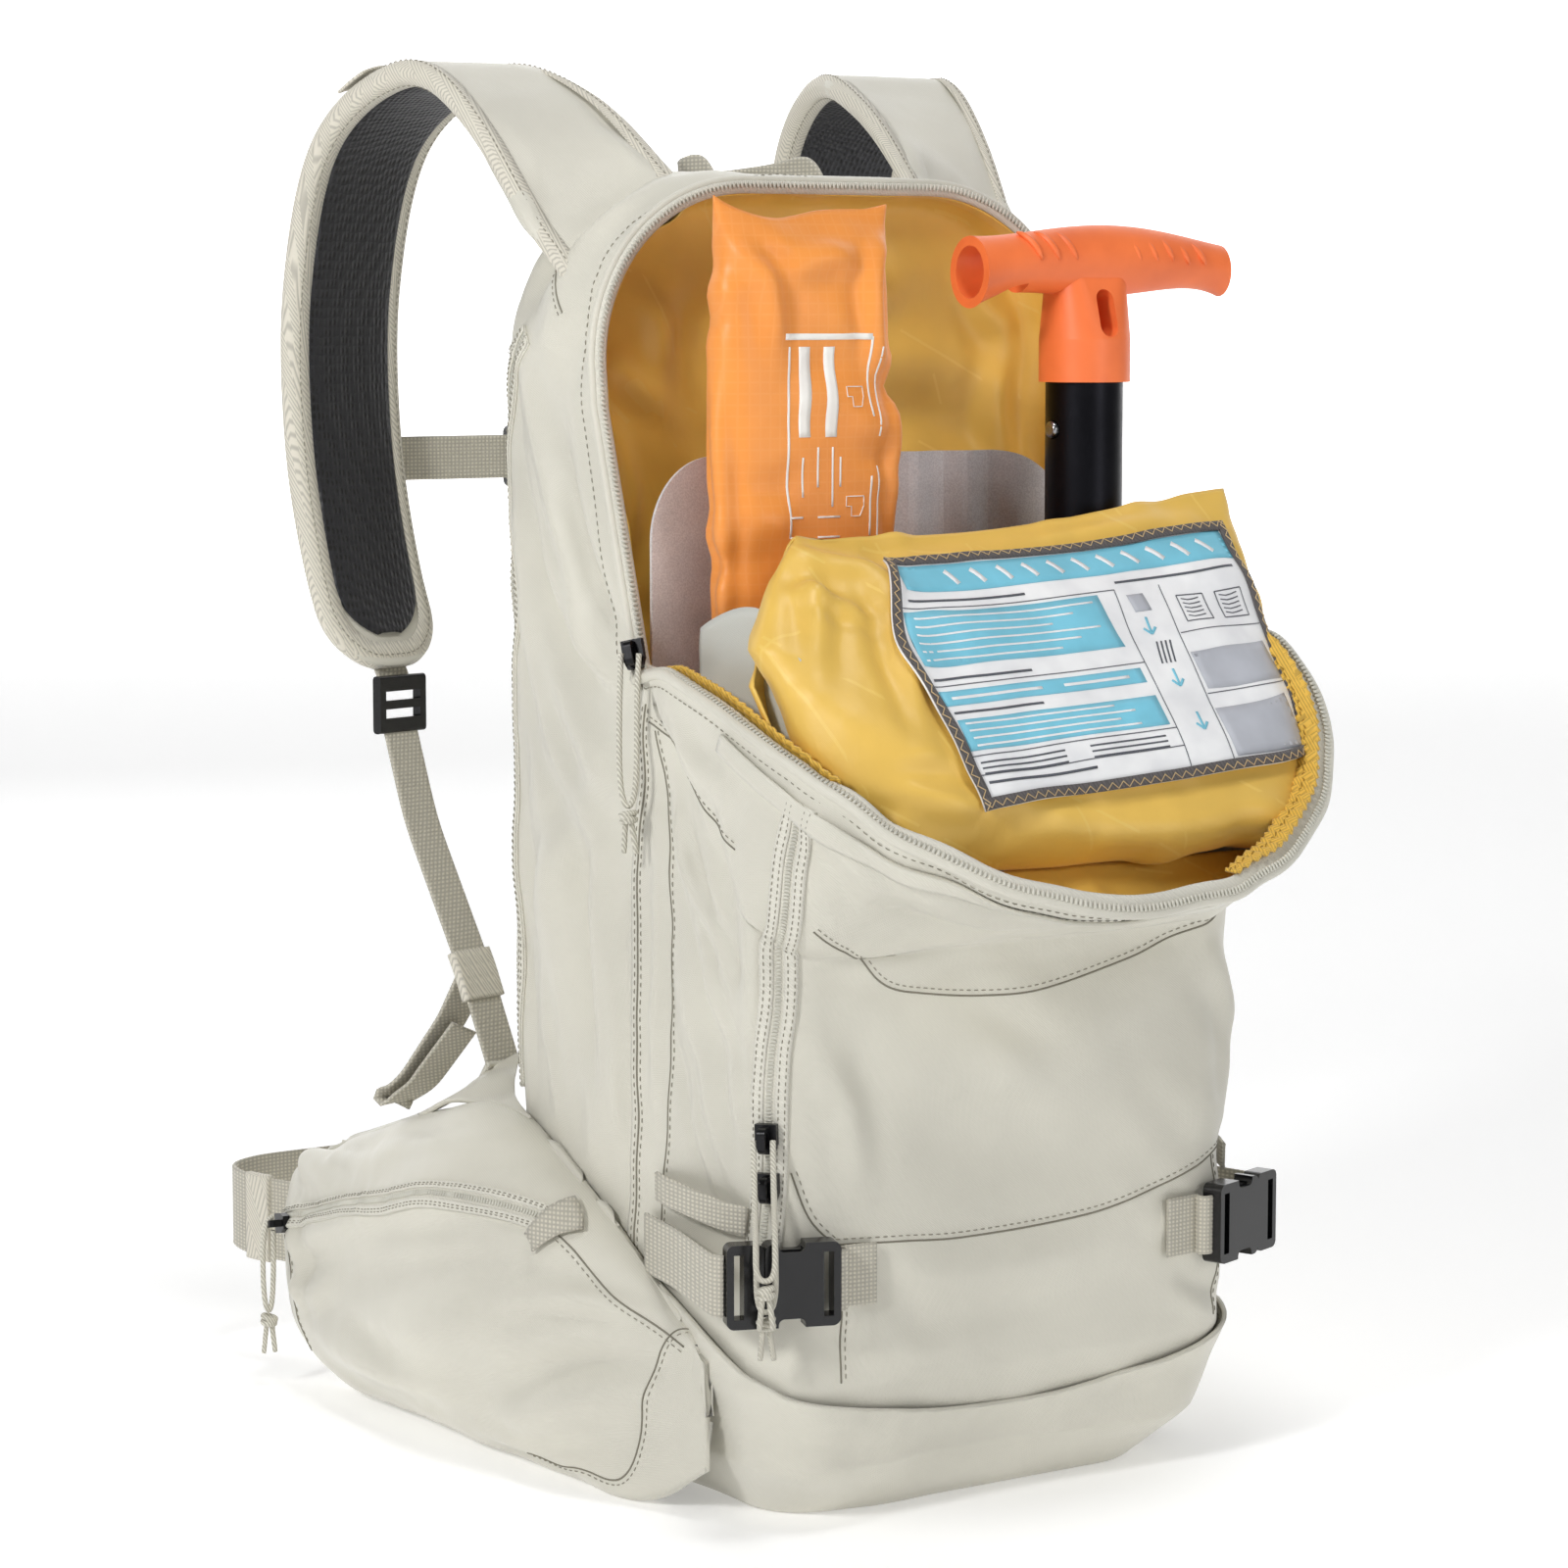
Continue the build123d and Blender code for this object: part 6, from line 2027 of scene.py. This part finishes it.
def strap_outline():
    """(share, u) round the strap's edge: down the outer side, round its end, up the inner side."""
    down = [(share, -1.0) for share in np.linspace(0.0, 0.995, 150)]
    tip = [(0.998, u) for u in np.linspace(-1, 1, 16)[1:-1]]
    up = [(share, -u) for share, u in down[::-1]]
    return np.array(down + tip + up)


def make_strap_binding(word):
    """Herringbone tape folded over the strap's edge, with a row of stitches on each face."""
    outline = strap_outline()
    depth = STRAP.depth(outline[:, 0])
    middle = STRAP.at(outline[:, 0], outline[:, 1])
    lifted = STRAP.at(outline[:, 0], outline[:, 1], np.ones(len(outline)))
    count = 380
    out = unit(evenly_like(middle, lifted - middle, count))
    deep = evenly_like(middle, depth[:, None], count)
    line = evenly(middle, count)
    smooth_ends_kept(line, 3)
    ahead = unit(np.gradient(line, axis=0))
    away = unit(np.cross(ahead, out))
    profile = ((-8, 0.96, 0.5), (-4, 0.93, 0.6), (-1.2, 0.7, 0.6), (0.5, 0.32, 0.3), (0.9, 0, 0),
               (0.5, -0.32, -0.3), (-1.2, -0.7, -0.6), (-4, -0.93, -0.7), (-10, -1.0, -0.8))
    rows = [line + away * reach + out * (deep * high + extra) for reach, high, extra in profile]
    grid = np.stack(rows, 1)
    centre = STRAP.spine[100]
    if ((grid[60, 4] - line[60]) @ (line[60] - centre)) < 0:
        rows = [line - away * reach + out * (deep * high + extra) for reach, high, extra in profile]
        grid = np.stack(rows, 1)[:, ::-1]
    piece = cloth_object("strap_binding_" + word, to_side(grid, word), "edge_tape", 0.6)
    blend_strap(piece)
    placed = to_side(grid, word)
    normals = grid_normals(placed)
    parts = []
    for column in (1, 7):
        parts += stitches_on(placed[:, column] + normals[:, column] * 0.1, normals[:, column],
                             length=2.1, gap=1.2, radius=0.24)
    stitch = joined_object("strap_binding_stitches_" + word, parts, "stitch")
    blend_strap(stitch)


def make_strap_mesh(word):
    """Spacer mesh on the inner face of a strap."""
    share = np.linspace(0.12, 0.965, 150)
    u = np.linspace(-0.72, 0.72, 30)
    squeeze = np.sqrt(np.maximum(1 - (np.clip(share - 0.90, 0, 1) / 0.068) ** 2.4, 0.05))
    rows = []
    for place, narrow in zip(share, squeeze):
        swell = 0.4 + 1.6 * (1 - (u / 0.72) ** 4)
        depth = float(STRAP.depth(place))
        rows.append(STRAP.at(np.full(30, place), u * narrow, -(depth * 0.97 + swell * 0.7)))
    grid = np.stack(rows)
    piece = cloth_object("strap_mesh_" + word, to_side(grid, word), "mesh", 0.8)
    blend_strap(piece)
    if word == "left":
        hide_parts("strap_mesh")
    placed = to_side(grid, word)
    parts = []
    for row in (122, 129):
        line = placed[row, 9:21]
        parts.append(tube_part(line + grid_normals(placed)[row, 9:21] * 0.6, 0.95, 6))
    tack = joined_object("strap_tacks_" + word, parts, "pale_stitch")
    blend_strap(tack)


def make_strap_loop(word):
    """Tape loop sewn flat across the strap's crest."""
    u = np.linspace(-0.98, -0.05, 24)
    rows = []
    for share in np.linspace(0.335, 0.375, 8):
        lift = STRAP.depth(share) + 0.7 + 3.2 * np.sin(math.pi * np.linspace(0, 1, 24))
        rows.append(STRAP.at(np.full(24, share), u, lift))
    grid = np.stack(rows)[::-1]
    piece = cloth_object("strap_loop_" + word, to_side(grid, word), "edge_tape", 1.2)
    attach(piece, "harness")


for strap_word in ("left", "right"):
    make_strap_body(strap_word)
    make_strap_binding(strap_word)
    make_strap_mesh(strap_word)
    make_strap_loop(strap_word)


# ---------------------------------------------------------------- webbing

def softened(points, passes, step=1.5):
    """A polyline with its corners rounded off, points about step mm apart."""
    line = evenly(points, max(12, int(length_of(points) / step)))
    smooth_ends_kept(line, passes)
    return line


def web_strip(name, points, across, width, passes=30, thick=1.7, paint="web"):
    """A flat strip of webbing centred on a path; its edges are a little thicker than its middle."""
    line = softened(points, passes)
    ahead = unit(np.gradient(line, axis=0))
    across = unit(across)
    side = unit(np.broadcast_to(across, line.shape) - ahead * (ahead @ across)[:, None])
    up = unit(np.cross(ahead, side))
    half = width / 2
    bead = thick / 2 + 0.15
    profile = [(-half, -thick / 4), (-half + 0.8, -bead), (-half + 2, -thick / 2), (0, -thick / 2),
               (half - 2, -thick / 2), (half - 0.8, -bead), (half, -thick / 4), (half, thick / 4),
               (half - 0.8, bead), (half - 2, thick / 2), (0, thick / 2), (-half + 2, thick / 2),
               (-half + 0.8, bead), (-half, thick / 4)]
    piece = joined_object(name, [capped(swept(line, side, up, profile))], paint)
    return piece


def both(points, side):
    """Points of the left side (side −1), or mirrored (side 1)."""
    return [(x * -side, y, z) for x, y, z in points]



def make_haul_loop():
    """Webbing loop behind the top edge."""
    path = [(-28, 60, 543), (-28, 66, 551), (-27, 90, 547), (0, 96, 543), (27, 90, 547), (28, 66, 551),
            (28, 60, 543)]
    piece = web_strip("haul_web", path, UPRIGHT, 16, passes=26)
    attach(piece, "pack")
    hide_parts("haul_loop")


def make_belt_webs():
    """Webbing of the hip belt, with its keepers."""
    for side, word, end in ((-1, "left", -39), (1, "right", -7.4)):
        path = both([(-153.5, 222, 70), (-163, 250, 70), (-160, 279, 70), (-140, 290, 70),
                     (end, 290, 70)], side)
        piece = web_strip("belt_strip_" + word, path, UPRIGHT, BELT_WEB, passes=60)
        if word == "left":
            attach(piece, "pack")
        else:
            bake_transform(piece)
        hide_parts("belt_web_" + word)
        keeper = both([(-159, 236, 70), (-161.5, 243, 70), (-163, 250, 70)], side)
        band = web_strip("belt_keeper_" + word, keeper, UPRIGHT, 41, passes=2, thick=4.4, paint="edge_tape")
        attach(band, "pack")


def make_sternum_webs():
    """Webbing across the chest, in two lengths."""
    for side, word, end in ((-1, "left", -39), (1, "right", -7.4)):
        path = both([(-139.9, 210.7, 422), (-107.1, 219.7, 422), (end, 219.7, 422)], side)
        piece = web_strip("sternum_strip_" + word, path, UPRIGHT, STRAP_WEB, passes=26)
        if word == "left":
            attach(piece, "harness")
        else:
            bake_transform(piece)
        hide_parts("sternum_web_" + word)


def make_adjusters():
    """Strap adjuster webbing, its keeper and tail, and the cloth gusset it is sewn to."""
    lock = strap_at(131, 303)
    bend = strap_at(118, 262)
    keep = strap_at(84, 198)
    low = strap_at(66, 156)
    for side, word in ((-1, "left"), (1, "right")):
        across = STRAP_ACROSS * (-side, 1, 1)
        piece = web_strip("adjuster_strip_" + word, both([lock, bend, keep, low], side), across,
                          STRAP_WEB, passes=60)
        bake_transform(piece)
        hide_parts("adjuster_web_" + word)
        high = keep + (bend - keep) * 0.12
        below = keep + (low - keep) * 0.30
        band = web_strip("adjuster_keeper_" + word, both([high, keep, below], side), across, 23.5, passes=3,
                         thick=4.6, paint="edge_tape")
        tail_path = [keep, strap_at(92, 176, -6), strap_at(104, 150, -18), strap_at(112, 139, -26),
                     strap_at(110, 137, -28), strap_at(100, 146, -18), strap_at(86, 172, -5)]
        tail = web_strip("adjuster_tail_" + word, both(tail_path, side), across, STRAP_WEB, passes=12,
                         paint="web")
        for part in (band, tail):
            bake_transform(part)
        foot = curve_through([(-124, 52, 142), (-130, 76, 146), (-136, 100, 144), (-140, 124, 134)], 30)
        top = evenly([low + STRAP_ACROSS * 10, low, low - STRAP_ACROSS * 10], 30)
        top[:, 2] += 3
        rows = []
        for share in np.linspace(0, 1, 24):
            neck = np.sin(math.pi * share) * 9
            row = foot + (top - foot) * share
            pull = np.linspace(1, -1, 30)[:, None] * neck * STRAP_ACROSS
            rows.append(row - pull * 0.7 + (0, 0, -2.0 * math.sin(math.pi * share)))
        grid = add_ripples(np.stack(rows), (0.4, 0.8, 0.1), 22, 1.2, 95)
        gusset = cloth_object("strap_gusset_" + word, to_side(grid, word), "fabric", 2.2)
        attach(gusset, "pack")
        if word == "left":
            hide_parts("strap_anchors")


def make_lock_tabs():
    """Webbing that holds each ladder lock under its strap's end."""
    for side, word in ((-1, "left"), (1, "right")):
        across = STRAP_ACROSS * (-side, 1, 1)
        path = [strap_at(147, 352), strap_at(141, 336), strap_at(135, 326), strap_at(132, 320)]
        piece = web_strip("lock_tab_" + word, both(path, side), across, 19, passes=8)
        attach(piece, "harness")


def make_side_webs():
    """Compression webbing, keeper and tab on each side."""
    for side, word in ((-1, "left"), (1, "right")):
        path = both([(-138.6, -127.1, 107), (-142.0, -125.0, 107), (-127.5, -70, 107), (-125.5, -56, 107),
                     (-123.0, -42, 107)], side)
        piece = web_strip("side_strip_" + word, path, UPRIGHT, SIDE_WEB, passes=10)
        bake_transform(piece)
        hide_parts("side_web_" + word)
        loop_path = both([(-122.5, -50, 132), (-127.5, -66, 133), (-128.5, -90, 132), (-126.0, -108, 130),
                          (-121.5, -117, 129)], side)
        loop = web_strip("side_keeper_" + word, loop_path, UPRIGHT, KEEPER_WEB, passes=6)
        tab_path = both([(-95.2, -142.8, 107), (-90.6, -143.4, 107), (-89.0, -139.4, 107),
                         (-92, -137.4, 107),
                         (-82, -138.4, 107), (-74, -139.2, 107)], side)
        tab = web_strip("side_tab_" + word, tab_path, UPRIGHT, SIDE_WEB, passes=2, thick=1.4)
        for part in (loop, tab):
            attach(part, "pack")
        if word == "left":
            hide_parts("side_keepers")


make_haul_loop()
make_belt_webs()
make_sternum_webs()
make_adjusters()
make_lock_tabs()
make_side_webs()


# ---------------------------------------------------------------- grip details

def make_grip_ribs():
    """Slanted ribs moulded into the front of the shovel's grip."""
    parts = []
    for x in (44, 53, 62, 96, 105, 114, 123, 132):
        lean = 3.4
        centre_z = 510.5 if 40 < x < 120 else 509
        ring = []
        for share in np.linspace(-1, 1, 9):
            turn = 0.9 + share * 0.62
            reach = 12.6 if x < 70 else 12.2 - 0.045 * max(0, x - 100)
            ring.append((x + share * lean, -70 - math.sin(turn) * reach, centre_z + math.cos(turn) * reach))
        parts.append(tube_part(np.array(ring), np.array([0.5, 1.1, 1.4, 1.5, 1.5, 1.5, 1.4, 1.1, 0.5]), 8))
    piece = joined_object("grip_ribs", parts, "grip")
    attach(piece, "shovel")


make_grip_ribs()


# ---------------------------------------------------------------- back pad

def make_back_pad():
    """Cloth-covered foam with an upright air channel and four level grooves."""
    x = np.linspace(-98, 98, 150)
    z = np.linspace(90, 490, 260)
    wide, high = np.meshgrid(x, z)
    corner = 34.0
    dx = np.maximum(np.abs(wide) - (98 - corner), 0)
    dz = np.maximum(np.abs(high - 290) - (200 - corner), 0)
    edge = corner - np.hypot(dx, dz)
    edge = np.minimum(edge, np.minimum(98 - np.abs(wide), 200 - np.abs(high - 290)))
    dome = np.sqrt(np.clip(1 - (1 - np.clip(edge / 9, 0, 1)) ** 2, 0, 1))
    channel = 1 - 0.45 * (1 - smoothstep(np.abs(wide), 9, 19))
    groove = np.ones_like(wide)
    for step in (-1.5, -0.5, 0.5, 1.5):
        groove *= 1 - 0.42 * (1 - smoothstep(np.abs(high - 290 - step * 84), 2.5, 9))
    y = 83.4 + 12 * dome * channel * groove
    grid = np.stack([wide, y, high], -1)
    grid = add_ripples(grid[:, ::-1], (0.2, 0, 0.9), 44, 0.4, 97)
    piece = cloth_object("back_pad_cover", grid, "foam", 1.2)
    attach(piece, "pack")
    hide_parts("back_pad")


make_back_pad()


# ---------------------------------------------------------------- studio

def make_studio():
    """Plain pale floor and soft white light from all sides, brightest from the left."""
    mesh = bpy.data.meshes.new("floor")
    far = 12
    mesh.from_pydata([(-far, -far, 0), (far, -far, 0), (far, far, 0), (-far, far, 0)], [], [(0, 1, 2, 3)])
    floor = bpy.data.objects.new("floor", mesh)
    floor.location.z = -0.0015
    paint = Paint("studio_floor", roughness=0.95)
    paint.colour(rgb(250, 250, 250))
    paint.set("Emission Color", (1, 1, 1, 1))
    paint.set("Emission Strength", 0.25)
    mesh.materials.append(paint.material)
    bpy.context.scene.collection.objects.link(floor)
    wall_mesh = bpy.data.meshes.new("backdrop")
    wall_mesh.from_pydata([(-9, 0, -4), (9, 0, -4), (9, 0, 9), (-9, 0, 9)], [], [(0, 1, 2, 3)])
    wall = bpy.data.objects.new("backdrop", wall_mesh)
    wall.location = (1.6, 5.0, 0)
    wall.rotation_euler.z = math.radians(-33)
    white = Paint("studio_backdrop", roughness=1.0)
    white.colour(rgb(255, 255, 255))
    white.set("Emission Color", (1, 1, 1, 1))
    white.set("Emission Strength", 1.0)
    wall_mesh.materials.append(white.material)
    bpy.context.scene.collection.objects.link(wall)
    bpy.context.scene.view_settings.view_transform = "Standard"
    world = bpy.data.worlds.new("studio")
    world.use_nodes = True
    world.node_tree.nodes["Background"].inputs["Color"].default_value = (1, 1, 1, 1)
    world.node_tree.nodes["Background"].inputs["Strength"].default_value = 0.16
    bpy.context.scene.world = world
    middle = (0, 0, 0.3)
    for name, place, size, power in (
        ("key", (-2.1, -0.8, 1.4), 0.45, 27),
        ("fill", (0.6, -2.5, 0.8), 1.0, 9),
        ("top", (-0.2, -0.7, 2.3), 0.5, 13),
        ("back", (0.6, 2.2, 1.2), 1.6, 4),
    ):
        data = bpy.data.lights.new(name, "AREA")
        data.shape = "DISK"
        data.size = size
        data.energy = power
        lamp = bpy.data.objects.new(name, data)
        bpy.context.scene.collection.objects.link(lamp)
        aim(lamp, place, middle)


make_studio()
